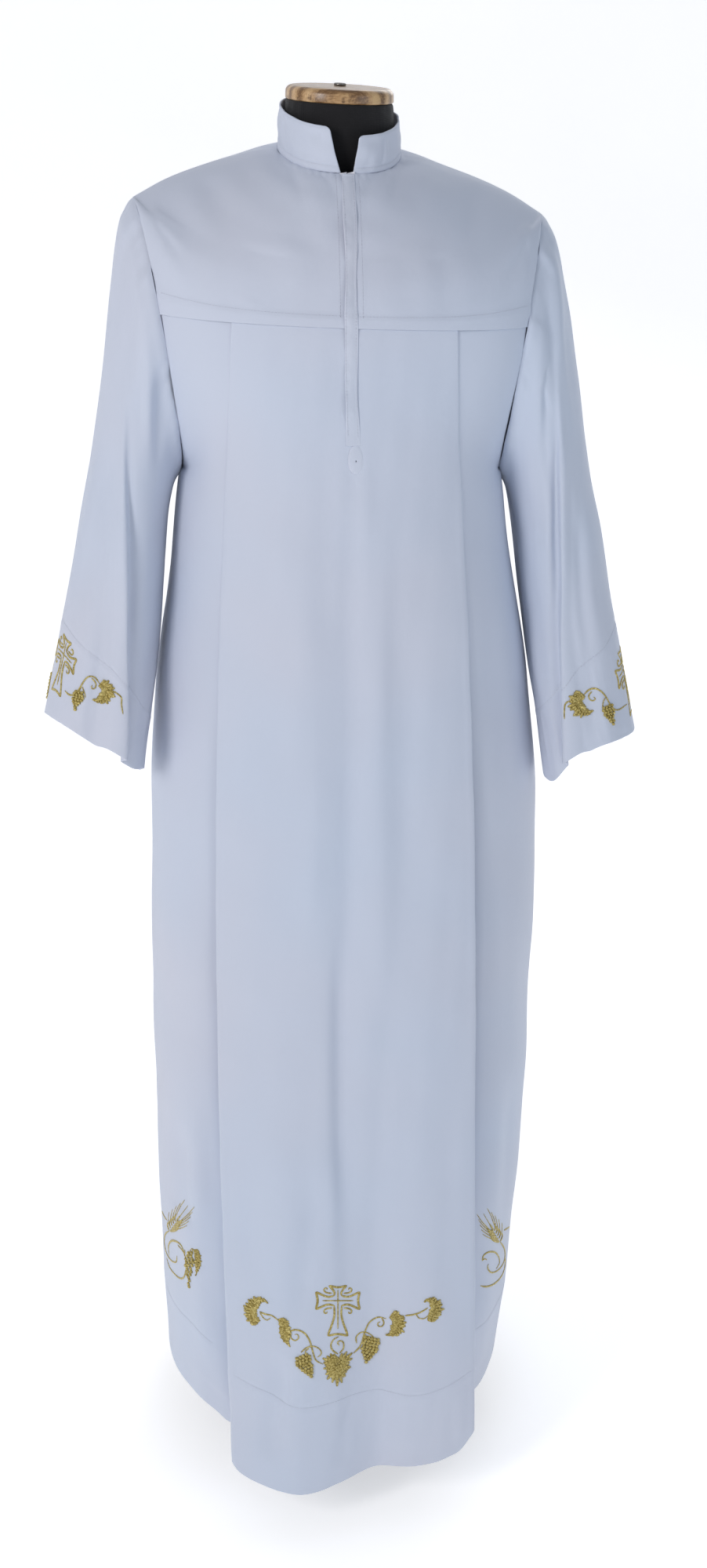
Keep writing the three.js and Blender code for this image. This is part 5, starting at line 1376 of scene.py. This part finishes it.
def seams():
    out = {}
    xs = np.linspace(-148, 134, 200)
    out["front_hem"] = sewn_row("stitch_front_hem", FRONT_LOWER, *panel_row(xs, HEM_SEAM("z", xs)), more=[
        side_row(np.linspace(-0.985, -0.74, 90), np.full(90, SIDE_SEAM_Z)), side_row(np.linspace(0.72, 0.985, 90), np.full(90, SIDE_SEAM_Z))])
    us = np.linspace(-0.99, 0.99, 420)
    out["back_hem"] = sewn_row("stitch_back_hem", BACK_PIECE, *side_row(us, np.full(420, SIDE_SEAM_Z), False))
    for side, word in ((-1, "left"), (1, "right")):
        d = np.linspace(-180, 180, 300)
        s = CUFF_SEAM[side]("s", d)
        f = lambda a, b: tilt(sleeve_surface(side, a, np.radians(b)))
        p = f(s, d)
        n = unit(np.cross(f(s, d + 0.5) - f(s, d - 0.5), f(s - 0.002, d) - f(s + 0.002, d))) * (-side)
        out["cuff_" + word] = sewn_row("stitch_cuff_" + word, SLEEVE_PIECES[side], p, n, 12.0)
        # the yoke's lower band and its edge beside the zip
        v = np.full(160, 0.0)
        z0 = float(FRONT("z", V_YOKE))
        vq = float(np.interp(-(z0 + 9.5), -FRONT("z", np.linspace(2, 2.6, 400)), np.linspace(2, 2.6, 400)))
        xe = float(base(vq, 1.0, True)[0])
        x = np.linspace(9.0, xe - 3.5, 160) * side
        g = lambda a, b: tilt(base(b, a / base(b, np.ones_like(np.asarray(b, float)), True)[..., 0], True))
        vv = np.full(160, vq)
        n = unit(np.cross(g(x + 1, vv) - g(x - 1, vv), g(x, vv - 0.004) - g(x, vv + 0.004)))
        v2 = np.linspace(0.06, V_YOKE - 0.03, 120)
        x2 = np.full(120, SLIT_X + side * (SLIT_W / 2 + 9.8))
        m = unit(np.cross(g(x2 + 1, v2) - g(x2 - 1, v2), g(x2, v2 - 0.004) - g(x2, v2 + 0.004)))
        out["yoke_" + word] = sewn_row("stitch_yoke_" + word, YOKES[side], g(x, vv), n, 12.0, more=[(g(x2, v2), m)])
    v = np.linspace(0.10, 2.83, 260)
    rows = []
    for e in (-5.3, 5.2):
        x = FLY("x", v) + e
        p = front_strip(v, x, 0.0)
        n = unit(np.cross(front_strip(v, x + 1, 0.0) - front_strip(v, x - 1, 0.0), front_strip(v - 0.004, x, 0.0) - front_strip(v + 0.004, x, 0.0)))
        rows.append((p, n))
    out["fly"] = sewn_row("stitch_fly", FLY_PIECE, *rows[1], reach=9.0, more=[rows[0]])
    # collar: along the neck seam and round the free edges
    t = np.full(260, 6.4 / COLLAR_HEIGHT)
    p, n = [], []
    for front, us in ((True, np.linspace(-0.93, -0.2, 60)), (True, np.linspace(0.24, 0.93, 60)), (False, np.linspace(-0.96, 0.96, 120))):
        for h in (6.4, 42.6):
            tt = np.full(len(us), h / COLLAR_HEIGHT)
            q = collar_point(tt, us, front)
            a = collar_point(tt, us + 0.01, front) - collar_point(tt, us - 0.01, front)
            b = collar_point(tt + 0.01, us, front) - collar_point(tt - 0.01, us, front)
            m = unit(np.cross(a, b)) * (1 if front else -1)
            p.append(tilt(q)), n.append(m)
    out["collar"] = sewn_row("stitch_collar", COLLAR_PIECE, p[0], n[0], reach=8.0, more=list(zip(p[1:], n[1:])), long=2.1, pitch=3.0)
    return out


SEAMS = seams()
# ---------------------------------------------------------------- gold embroidery: satin cords, leaves, grapes and ears of wheat
FOCAL = camera.data.lens / 36 * 2000
VIEW = np.array(camera.rotation_quaternion.to_matrix())
EYE = np.array(camera.location) * 1000


def seen(ob):
    """Places work by where it shows in a picture of 902 x 2000, x right and y down."""
    tree = tree_of(ob)

    def place(a, b):
        a, b = np.broadcast_arrays(np.asarray(a, float), np.asarray(b, float))
        d = unit(np.stack([(a - 451) / FOCAL, -(b - 1000) / FOCAL, -np.ones_like(a)], -1) @ VIEW.T)
        p, n, ok = np.zeros(d.shape), -d, np.zeros(a.shape, bool)
        for i in np.ndindex(a.shape):
            hit, face, _, _ = tree.ray_cast(Vector(EYE), Vector(d[i]), 6000)
            if hit is not None:
                p[i], n[i], ok[i] = hit, face, True
        return p, n, ok
    return place


def on_sleeve(side, s0, deg0):
    """Places work round a sleeve: a to the right and b down, in millimetres from s0, deg0."""
    long = sleeve_length(side)

    def place(a, b):
        a, b = np.broadcast_arrays(np.asarray(a, float), np.asarray(b, float))
        s, d = s0 + b / long, deg0 - side * a / 1.17
        f = lambda x, y: tilt(sleeve_surface(side, x, np.radians(y)))
        n = unit(np.cross(f(s, d + 0.5) - f(s, d - 0.5), f(s - 0.002, d) - f(s + 0.002, d))) * (-side)
        return land(SLEEVE_PIECES[side], f(s, d), n, 14.0)
    return place


def cord(heap, place, pts, wide=1.7, high=0.95, taper=(1.0, 0.7), lift=0.30, step=1.1):
    """A satin-stitched cord through pts."""
    wide, high = wide * 1.5, high * 1.2
    span = np.linalg.norm(np.diff(np.asarray(pts, float), axis=0), axis=1).sum()
    q = curve(pts, max(6, int(span / step)))
    p, n, ok = place(q[:, 0], q[:, 1])
    p, n = p[ok], n[ok]
    if len(p) < 4:
        return
    k = len(p)
    # the cord spans small steps of the cloth rather than breaking over them
    for _ in range(3):
        n[1:-1] = unit(n[:-2] + n[1:-1] * 2 + n[2:])
        p[1:-1] = (p[:-2] + p[1:-1] * 2 + p[2:]) / 4
    t = np.linspace(0, 1, k)
    w = wide * (taper[0] + (taper[1] - taper[0]) * t) * np.minimum(1, 0.45 + 6 * np.minimum(t, 1 - t))
    s = np.concatenate([[0], np.cumsum(np.linalg.norm(np.diff(p, axis=0), axis=1))])
    verts, faces = tube(p + n * lift, n, w, high * np.minimum(1, 0.5 + 6 * np.minimum(t, 1 - t)), 8)
    th = np.zeros((len(verts), 3))
    th[: 8 * k, 0] = np.repeat(s, 8)
    th[: 8 * k, 1] = np.tile(np.cos(2 * np.pi * np.arange(8) / 8) * wide / 2, k)
    th[-1, 0] = s[-1]
    heap.add(verts, faces, th)


def curl(c, r0, r1, a0, a1, n=14):
    """Points of a curl about c whose radius goes from r0 to r1, angles in degrees, y down."""
    q, r = np.radians(np.linspace(a0, a1, n)), np.linspace(r0, r1, n)
    return [(c[0] + x, c[1] + y) for x, y in zip(r * np.cos(q), r * np.sin(q))]


def leaf(heap, place, mid, wide, side, lobes=5, per=7, inner=0.18, seed=0, teeth=0.34, head=0.35, narrow=0.0):
    """A leaf worked in satin stitches along a bent midrib: lobed on its outer side, ending in a hook.
    side 1: the outer side is to the right of the way from the first point to the hook, as seen."""
    rs = np.random.RandomState(seed)
    n = lobes * per
    q = curve(mid, n + 2)[:-1]
    tan = unit(np.gradient(q, axis=0))
    nor = np.stack([-tan[:, 1], tan[:, 0]], -1) * side
    t = np.linspace(0, 1, n + 1)
    envelope = wide * (head + (1 - head) * np.sin(np.pi * np.clip(t * 0.9 + 0.12, 0, 1)) ** 0.8) * np.clip(1.25 - 1.15 * t ** 2.4, 0.12, 1) * (1 - narrow * t)
    f = (np.arange(n + 1) % per + 0.5) / per
    out = envelope * (1 - teeth + teeth * np.sin(np.pi * f) ** 0.5) * (1 + rs.uniform(-0.04, 0.04, n + 1))
    lean = np.radians(-14 + 16 * (f - 0.5))
    away = nor * np.cos(lean)[:, None] - tan * np.sin(lean)[:, None] * 0.9
    inn = envelope * inner * (1 + rs.uniform(-0.08, 0.08, n + 1))
    # ground of stitches under the threads
    lanes = np.array([-0.86, -0.4, 0.2, 0.6, 0.80])
    grid = []
    for x in lanes:
        grid.append(q + np.where(x < 0, x * inn, x * out)[:, None] * (nor if x < 0 else away))
    g = np.stack(grid, 1)
    p, m, ok = place(g[..., 0], g[..., 1])
    good = ok.all(1)
    if good.sum() > 4:
        verts, faces, _ = shell(p[good] + m[good] * 0.22, 0.5)
        heap.add(verts, faces, np.array([0.2, 0.1, 0]))
    # fingers of satin stitch, fanned off the midrib on both sides, rounded at their tips
    run = np.concatenate([[0], np.cumsum(np.linalg.norm(np.diff(q, axis=0), axis=1))])
    for side_out in (True, False):
        pitch = 3.1 if side_out else 3.0
        k = max(3, int(round(run[-1] / pitch)))
        for j in range(k):
            i = int(np.searchsorted(run, (j + 0.5) * run[-1] / k))
            reach = (envelope[i] if side_out else envelope[i] * inner) * (0.90 + 0.16 * ((j + seed) % 2) + rs.uniform(-0.05, 0.05))
            if reach < 1.6:
                continue
            turn = math.radians(-24 + 26 * j / k) if side_out else math.radians(18)
            d = nor[i] * math.cos(turn) - tan[i] * math.sin(turn) if side_out else -nor[i] * math.cos(turn) + tan[i] * math.sin(turn)
            finger(heap, place, q[i], q[i] + d * reach, min(3.3, 1.6 + reach * 0.22), rs)
    # the hook at the end and a rib along the middle
    cord(heap, place, q[int(n * 0.55):], min(2.4, wide * 0.22), 1.2, (1.0, 0.8), 0.45, 0.9)
    for i in range(1, n, 2):
        for x in np.arange(0.12, 0.90, 2.3 / max(out[i], 2.2)):
            a = q[i] + away[i] * out[i] * (x + rs.uniform(-0.06, 0.06)) + tan[i] * rs.uniform(-0.6, 0.6)
            if rs.uniform() < 0.40:
                p, m, ok = place(a[0], a[1])
                if ok:
                    berry(heap, p + unit(m) * 1.05, unit(m), rs.uniform(0.9, 1.3), 0.7, rs.uniform(-1.4, 1.4), i)


def finger(heap, place, a, b, wide, rs):
    """One lobe of a leaf: a plump block of satin stitch from a to b, with a round tip."""
    x = np.linspace(0, 1, 6)[:, None]
    line = np.asarray(a) * (1 - x) + np.asarray(b) * x
    p, m, ok = place(line[:, 0], line[:, 1])
    if not ok.all():
        return
    m = unit(m + m.mean(0))
    rise = np.array([0.20, 0.55, 0.75, 0.80, 0.60, 0.15]) + rs.uniform(-0.12, 0.25)
    w = wide * np.array([0.55, 0.80, 0.98, 1.06, 0.98, 0.52])
    verts, faces = tube(p + m * rise[:, None], m, w, 1.25 * np.array([0.8, 1, 1, 1, 0.9, 0.6]), 7)
    s = np.concatenate([[0], np.cumsum(np.linalg.norm(np.diff(p, axis=0), axis=1))]) + rs.uniform(0, 3)
    th = np.zeros((len(verts), 3))
    th[:42, 0] = np.repeat(s, 7)
    th[:42, 1] = np.tile(np.cos(2 * np.pi * np.arange(7) / 7) * wide / 2, 6)
    th[-1, 0] = s[-1]
    heap.add(verts, faces, th)


def vine_leaf(heap, place, c, lobes, seed=0):
    """A vine leaf seen flat: lobes of satin fingers from the middle, each lobe with a long finger and a short one on
    either side, and short blocks of stitches laid over them."""
    rs = np.random.RandomState(seed)
    c = np.asarray(c, float)
    for dx, dy in lobes:
        tip = np.array([dx, dy], float)
        r = np.hypot(dx, dy)
        e = np.array([-dy, dx]) / r
        for s in (-1, 1):
            finger(heap, place, c + tip * 0.22 + e * s * 1.2, c + tip * 0.80 + e * s * r * 0.22, 3.7, rs)
            finger(heap, place, c + tip * 0.10 + e * s * 1.8, c + tip * 0.56 + e * s * r * 0.30, 3.8, rs)
        finger(heap, place, c, c + tip * 0.96, 4.2, rs)
    for k in range(120):
        i = rs.randint(len(lobes))
        tip = np.array(lobes[i], float)
        t = rs.uniform(0.05, 0.86)
        e = np.array([-tip[1], tip[0]])
        a = c + tip * t + e * rs.uniform(-0.26, 0.26) * (1.1 - t)
        p, m, ok = place(a[0], a[1])
        if ok:
            berry(heap, p + unit(m) * 1.15, unit(m), rs.uniform(0.9, 1.35), 0.75, rs.uniform(-1.5, 1.5), k)


def berry(heap, p, n, r, high, turn, seed=0):
    """A small dome of satin stitches."""
    a = unit(np.cross(n, (0.3, 0.2, 1.0)))
    b = np.cross(n, a)
    a, b = a * math.cos(turn) + b * math.sin(turn), b * math.cos(turn) - a * math.sin(turn)
    la = np.radians([-52, -12, 22, 52])
    lo = 2 * np.pi * np.arange(9) / 9
    ring = (np.cos(la)[:, None, None] * (np.cos(lo)[None, :, None] * a + np.sin(lo)[None, :, None] * b * 0.92) * r
            + np.sin(la)[:, None, None] * n * high + n * high * 0.35)
    verts = np.concatenate([(p + ring).reshape(-1, 3), [p - n * high * 0.5], [p + n * high * 1.35]])
    quads, caps = tube_faces(4, 9)
    th = np.zeros((len(verts), 3))
    th[:, 0] = (verts - p) @ b + seed * 0.37
    heap.add(verts, [quads[:, ::-1], caps[:, ::-1]], th)


def grapes(heap, place, top, tip, wide, rows=6, r=2.1, seed=0):
    """A bunch: rows of berries from top to tip, narrowing."""
    rs = np.random.RandomState(seed)
    top, tip = np.asarray(top, float), np.asarray(tip, float)
    d = unit(tip - top)
    e = np.array([-d[1], d[0]])
    long = np.linalg.norm(tip - top)
    pitch = r * 1.72
    rows = max(4, int(round(long / (pitch * 0.88))) + 1)
    for i in range(rows):
        t = i / (rows - 1)
        w = wide * (0.62 + 0.42 * math.sin(math.pi * min(1, t * 0.9 + 0.22))) * (1 - 0.60 * t ** 2.6)
        k = max(1, int(round(w / pitch)))
        shift = 0.5 if (i % 2) != (k % 2) else 0.0
        for j in range(k):
            c = top + (tip - top) * t + e * ((j - (k - 1) / 2 + shift * 0.5) * pitch + rs.uniform(-0.2, 0.2)) + d * rs.uniform(-0.35, 0.35)
            p, n, ok = place(c[0], c[1])
            if ok:
                berry(heap, p, unit(n), r * rs.uniform(0.92, 1.06), 1.9, rs.uniform(-0.5, 0.5), i * 7 + j)


def wheat(heap, place, foot, tip, wide, grains=5, awn=14, seed=0):
    """An ear: plump grains in pairs on a stalk, a long beard from each."""
    foot, tip = np.asarray(foot, float), np.asarray(tip, float)
    d = tip - foot
    e = np.array([-d[1], d[0]]) / np.linalg.norm(d)
    u = d / np.linalg.norm(d)
    for k in range(grains):
        t = k / grains
        for s in (-1, 1):
            a = foot + d * (0.04 + 0.72 * t) + e * s * wide * 0.04
            b = a + d * 0.30 + e * s * wide * (0.30 - 0.13 * t)
            m = (a + b) / 2 + e * s * wide * 0.07
            cord(heap, place, [a, m, b], 2.7, 1.5, (0.9, 0.55), 0.35, 0.9)
            c = b + (u * (1.0 + 0.12 * k) + e * s * (0.60 - 0.11 * k)) * awn * (0.75 + 0.06 * k)
            cord(heap, place, [b - (b - a) * 0.2, (b + c) / 2 + e * s * 0.5, c], 0.95, 0.8, (1.0, 0.6), 0.2, 1.3)
    a = foot + d * 0.70
    cord(heap, place, [a, a + d * 0.14, a + d * 0.34], 2.3, 1.4, (0.9, 0.5), 0.4, 0.9)
    cord(heap, place, [a + d * 0.3, a + d * 0.42, a + d * 0.3 + u * awn * 1.1], 0.85, 0.7, (1.0, 0.5), 0.15, 1.3)


def cross(heap, place, c, w, h, wide=1.9):
    """A plain cross with flared arms, drawn in an outline of cord with a line inside it."""
    arm, waist = w * 0.20, w * 0.085
    x0, y0 = w / 2, h * 0.30                        # half span; the upper arm's length from the crossing
    y1 = h * 0.70

    def bend(a, b, pull):
        return [a, ((a[0] + b[0]) / 2 * pull[0] + pull[1] * (1 - pull[0]), (a[1] + b[1]) / 2 * pull[2] + pull[3] * (1 - pull[2])), b]
    ends = [((-arm, -y0), (arm, -y0)), ((x0, -arm), (x0, arm)), ((arm * 1.15, y1), (-arm * 1.15, y1)), ((-x0, arm), (-x0, -arm))]
    inner = [(waist, -waist * 1.3), (waist, waist * 1.3), (-waist, waist * 1.3), (-waist, -waist * 1.3)]
    at = lambda pts: [(c[0] + x, c[1] + y) for x, y in pts]
    order = [(ends[0][1], inner[0], ends[1][0]), (ends[1][1], inner[1], ends[2][0]), (ends[2][1], inner[2], ends[3][0]), (ends[3][1], inner[3], ends[0][0])]
    for a, i, b in order:
        for far in (a, b):
            m = ((far[0] * 0.4 + i[0] * 0.6), (far[1] * 0.4 + i[1] * 0.6))
            m = (m[0] * (0.62 if abs(far[0]) < abs(far[1]) else 1), m[1] * (0.62 if abs(far[0]) > abs(far[1]) else 1))
            cord(heap, place, at([i, m, far]), wide, 1.0, (0.9, 1.0), 0.15, 1.0)
    for (a, b), out in zip(ends, ((0, -1), (1, 0), (0, 1), (-1, 0))):
        m = ((a[0] + b[0]) / 2 - out[0] * 2.2, (a[1] + b[1]) / 2 - out[1] * 2.2)
        cord(heap, place, at([a, m, b]), wide, 1.0, (1.0, 1.0), 0.15, 1.0)
    for a, b in (((0, -y0 * 0.72), (0, y1 * 0.80)), ((-x0 * 0.70, 0), (x0 * 0.70, 0))):
        cord(heap, place, at([a, ((a[0] + b[0]) / 2, (a[1] + b[1]) / 2), b]), 1.1, 0.9, (1.0, 1.0), 0.2, 1.0)
    for sx in (-1, 1):
        for sy in (-1, 1):
            k = [(sx * waist * 1.6, sy * waist * 2.0), (sx * w * 0.20, sy * w * 0.17)] + [
                (sx * (w * 0.265 + x), sy * (w * 0.255 + y)) for x, y in curl((0, 0), 3.8, 1.2, -90, 200, 9)]
            cord(heap, place, at(k), 1.5, 0.9, (1.0, 0.75), 0.15, 1.0)


def front_work():
    heap, f = Heap(), seen(FRONT_LOWER)
    c = lambda pts, w=1.6, **k: cord(heap, f, pts, w, **k)
    cross(heap, f, (431, 1659), 56, 64)
    # left branch
    leaf(heap, f, [(329, 1688), (322, 1681), (320, 1669), (327, 1660), (336, 1658), (343, 1663)], 9.5, -1, 6, 7, inner=0.95, seed=1)
    c([(331, 1673), (338, 1676), (347, 1678), (355, 1684)])
    c([(332, 1675), (336, 1681), (341, 1684), (345, 1681)], 1.1)
    leaf(heap, f, [(358, 1681), (362, 1690), (363, 1700), (365, 1710), (371, 1719)], 9.0, -1, 5, 6, inner=0.75, seed=2)
    c([(368, 1699), (377, 1696), (388, 1700), (395, 1710), (399, 1724), (403, 1735), (412, 1740)])
    c([(371, 1698), (371, 1706), (376, 1710), (381, 1707), (380, 1702), (376, 1702)], 1.3)
    c([(384, 1725), (391, 1719), (400, 1717), (408, 1721), (410, 1727), (405, 1731)], 1.3)
    c([(394, 1720), (389, 1724), (391, 1730)], 1.0)
    grapes(heap, f, (385, 1730), (397, 1755), 20, 7, 2.5, seed=3)
    # the vine leaf in the middle, pointing down
    vine_leaf(heap, f, (430, 1741), [(-19, -9), (-9, -15), (20, -16), (18, 3), (11, 15), (0, 28), (-13, 19), (-18, 5)], seed=4)
    c([(431, 1727), (424, 1722), (422, 1715), (426, 1708), (432, 1705)], 1.5)
    c([(433, 1726), (438, 1720), (438, 1712), (433, 1710), (430, 1713), (433, 1716)], 1.5)
    # right branch
    c([(451, 1726), (460, 1716), (465, 1700), (471, 1687), (482, 1680), (493, 1682)])
    c([(487, 1681), (490, 1687), (487, 1692), (482, 1691), (482, 1687), (485, 1686)], 1.3)
    c([(455, 1713), (454, 1706), (459, 1700), (466, 1699), (474, 1703), (478, 1708)], 1.3)
    c([(462, 1713), (463, 1706), (467, 1703)], 1.0)
    grapes(heap, f, (475, 1707), (468, 1737), 22, 8, 2.5, seed=6)
    leaf(heap, f, [(499, 1676), (506, 1680), (509, 1689), (505, 1697), (498, 1702), (491, 1702)], 9.8, -1, 6, 7, inner=1.0, seed=7)
    c([(517, 1678), (526, 1677), (536, 1674), (546, 1668)])
    c([(531, 1676), (534, 1681), (541, 1682), (546, 1678)], 1.1)
    leaf(heap, f, [(549, 1686), (552, 1678), (556, 1669), (553, 1661), (546, 1658), (540, 1661)], 9.8, 1, 6, 7, inner=0.75, seed=8)
    return heap.object("embroidery_front", GOLD, "gold_thread")


def left_side_work():
    heap, f = Heap(), seen(FRONT_LOWER)
    c = lambda pts, w=1.8, **k: cord(heap, f, pts, w, **k)
    wheat(heap, f, (216, 1570), (230, 1551), 22, 5, 15, seed=1)
    c([(216, 1570), (211, 1574), (210, 1585), (213, 1599), (219, 1608), (225, 1610), (226, 1602)])
    c([(227, 1588), (233, 1595), (236, 1600), (236, 1594)], 1.3)
    c([(216, 1601), (215, 1590), (218, 1583), (224, 1583), (231, 1588), (235, 1598), (238, 1612), (236, 1626), (232, 1631), (225, 1627), (217, 1617), (213, 1605)], 2.0)
    c([(207, 1545), (210, 1552), (213, 1556)], 1.8)
    c([(238, 1620), (241, 1601), (245, 1592), (249, 1597)], 1.1)
    c([(246, 1593), (245, 1603), (244, 1612)], 1.0)
    grapes(heap, f, (243, 1598), (242, 1641), 11, 10, 2.5, seed=2)
    leaf(heap, f, [(250, 1593), (252, 1604), (252, 1616), (250, 1628)], 5.2, -1, 5, 6, inner=0.8, seed=3)
    return heap.object("embroidery_side_left", GOLD, "gold_thread")


def right_side_work():
    heap, f = Heap(), seen(FRONT_LOWER)
    c = lambda pts, w=1.8, **k: cord(heap, f, pts, w, **k)
    wheat(heap, f, (638, 1584), (625, 1562), 22, 5, 15, seed=4)
    c([(638, 1584), (643, 1592), (644, 1602), (641, 1613), (634, 1621), (626, 1623), (622, 1617), (623, 1612)])
    c([(615, 1608), (617, 1601), (623, 1597), (631, 1597), (636, 1603), (637, 1611), (633, 1618)])
    c([(615, 1608), (618, 1605), (621, 1607)], 1.3)
    c([(644, 1602), (644, 1614), (640, 1627), (631, 1637), (621, 1641), (613, 1640)], 2.2)
    c([(643, 1569), (648, 1566), (652, 1563)], 1.8)
    return heap.object("embroidery_side_right", GOLD, "gold_thread")


def cuff_left_work():
    heap, f = Heap(), seen(SLEEVE_PIECES[-1])
    c = lambda pts, w=1.5, **k: cord(heap, f, pts, w, **k)
    g = on_sleeve(-1, 0.868, 50)
    cross(heap, g, (-2, -4), 42, 56)
    c([(83, 881), (88, 886), (95, 886), (101, 879), (107, 869), (113, 863), (121, 864), (127, 872)])
    c([(117, 865), (122, 871), (122, 877), (118, 879), (116, 876), (118, 874)], 1.2)
    c([(104, 875), (101, 882), (100, 888)], 1.0)
    c([(105, 876), (108, 884), (109, 890)], 1.0)
    grapes(heap, f, (102, 883), (96, 905), 13.5, 6, 2.1, seed=11)
    leaf(heap, f, [(128, 871), (135, 876), (137, 884), (132, 890), (124, 893), (117, 892)], 10.5, -1, 6, 7, inner=0.85, seed=12)
    c([(144, 881), (150, 885), (155, 890), (155, 899), (157, 911)], 1.3)
    # the same branch again on the far side of the cross
    k = lambda pts, w=1.5, **m: cord(heap, g, pts, w, **m)
    k([(-26, 22), (-36, 26), (-44, 16), (-52, 6), (-62, 5), (-70, 14)])
    k([(-58, 6), (-63, 13), (-61, 19), (-57, 16)], 1.2)
    grapes(heap, g, (-44, 24), (-40, 46), 15, 6, 2.1, seed=13)
    leaf(heap, g, [(-72, 12), (-80, 18), (-82, 27), (-77, 34), (-68, 37), (-60, 35)], 10.5, 1, 5, 7, inner=0.75, seed=14)
    return heap.object("embroidery_cuff_left", GOLD, "gold_thread")


def cuff_right_work():
    heap, f = Heap(), seen(SLEEVE_PIECES[1])
    c = lambda pts, w=1.5, **k: cord(heap, f, pts, w, **k)
    g = on_sleeve(1, 0.905, 40)
    cross(heap, g, (0, -12), 44, 58)
    leaf(heap, f, [(744, 885), (737, 891), (737, 899), (742, 905), (750, 908), (758, 906)], 12.5, 1, 6, 7, inner=0.65, seed=21)
    c([(726, 894), (721, 898), (720, 907), (720, 917)], 1.3)
    c([(745, 886), (751, 880), (759, 878), (767, 882), (773, 889), (778, 898), (784, 905), (790, 905), (796, 901), (800, 898)])
    c([(755, 882), (751, 887), (752, 892), (757, 894), (760, 891), (757, 889)], 1.2)
    c([(772, 890), (769, 897), (769, 905)], 1.0)
    grapes(heap, f, (775, 901), (782, 923), 14.5, 6, 2.1, seed=22)
    k = lambda pts, w=1.5, **m: cord(heap, g, pts, w, **m)
    k([(26, 14), (36, 18), (44, 8), (52, -2), (62, -3), (70, 6)])
    k([(58, -2), (63, 5), (61, 11), (57, 8)], 1.2)
    grapes(heap, g, (44, 18), (40, 38), 15, 6, 2.1, seed=23)
    leaf(heap, g, [(72, 4), (80, 10), (82, 19), (77, 26), (68, 29), (60, 27)], 10.5, -1, 5, 7, inner=0.75, seed=24)
    return heap.object("embroidery_cuff_right", GOLD, "gold_thread")


WORK = {"front": front_work(), "side_left": left_side_work(), "side_right": right_side_work(),
        "cuff_left": cuff_left_work(), "cuff_right": cuff_right_work()}
# ---------------------------------------------------------------- floor and light
pale = Nodes("floor_pale")
tone = pale.mix(pale.noise(pale.place(), 1.4, 2.0), (0.88, 0.88, 0.885), (0.92, 0.92, 0.925))
glow = pale.math("ADD", 0.42, pale.math("MULTIPLY", pale.node("ShaderNodeLightPath", 0), 0.12))
pale.set(Base_Color=tone, Roughness=0.8, Emission_Color=tone, Emission_Strength=glow)


def sweep():
    """A floor that turns up into a wall far behind, so no line shows where they meet."""
    q = np.radians(np.linspace(0, 90, 19))
    y = np.concatenate([[-9.0, -3.0, 1.5], 1.5 + 3 * np.sin(q)])
    z = np.concatenate([[0.0, 0.0, 0.0], 3 - 3 * np.cos(q)])
    y, z = np.append(y, 4.5), np.append(z, 9.0)
    me = bpy.data.meshes.new("floor")
    verts = [(x, float(a), float(b) - 0.0005) for a, b in zip(y, z) for x in (-9, 9)]
    me.from_pydata(verts, [], [(2 * i, 2 * i + 1, 2 * i + 3, 2 * i + 2) for i in range(len(y) - 1)])
    me.polygons.foreach_set("use_smooth", [True] * len(me.polygons))
    me.materials.append(pale.material)
    ob = bpy.data.objects.new("floor", me)
    scene.collection.objects.link(ob)
    ob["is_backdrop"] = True


sweep()

world = bpy.data.worlds.new("studio")
scene.world = world
world.use_nodes = True
world.node_tree.nodes["Background"].inputs[0].default_value = (0.86, 0.91, 1.0, 1)
world.node_tree.nodes["Background"].inputs[1].default_value = 0.38


def lamp(name, place, target, size, power, colour=(1, 1, 1)):
    data = bpy.data.lights.new(name, "AREA")
    data.shape, data.size, data.size_y = "RECTANGLE", size[0], size[1]
    data.energy, data.color = power, colour
    ob = bpy.data.objects.new(name, data)
    scene.collection.objects.link(ob)
    ob.location = place
    ob.rotation_mode = "QUATERNION"
    ob.rotation_quaternion = (Vector(target) - Vector(place)).to_track_quat("-Z", "Y")


lamp("window", (-2.35, -2.3, 2.35), (0, 0, 1.1), (0.9, 1.5), 46, (1.0, 0.965, 0.95))
lamp("room", (2.4, -2.2, 1.4), (0, 0, 0.9), (1.4, 2.0), 12, (0.80, 0.90, 1.0))
lamp("back", (1.2, 2.4, 2.6), (0, 0, 1.0), (1.6, 2.0), 14, (1.0, 0.98, 0.97))
scene.view_settings.view_transform = "Standard"

visual_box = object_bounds()
{"cad": [list(c) for c in cad_box], "visual": [list(c) for c in visual_box]}
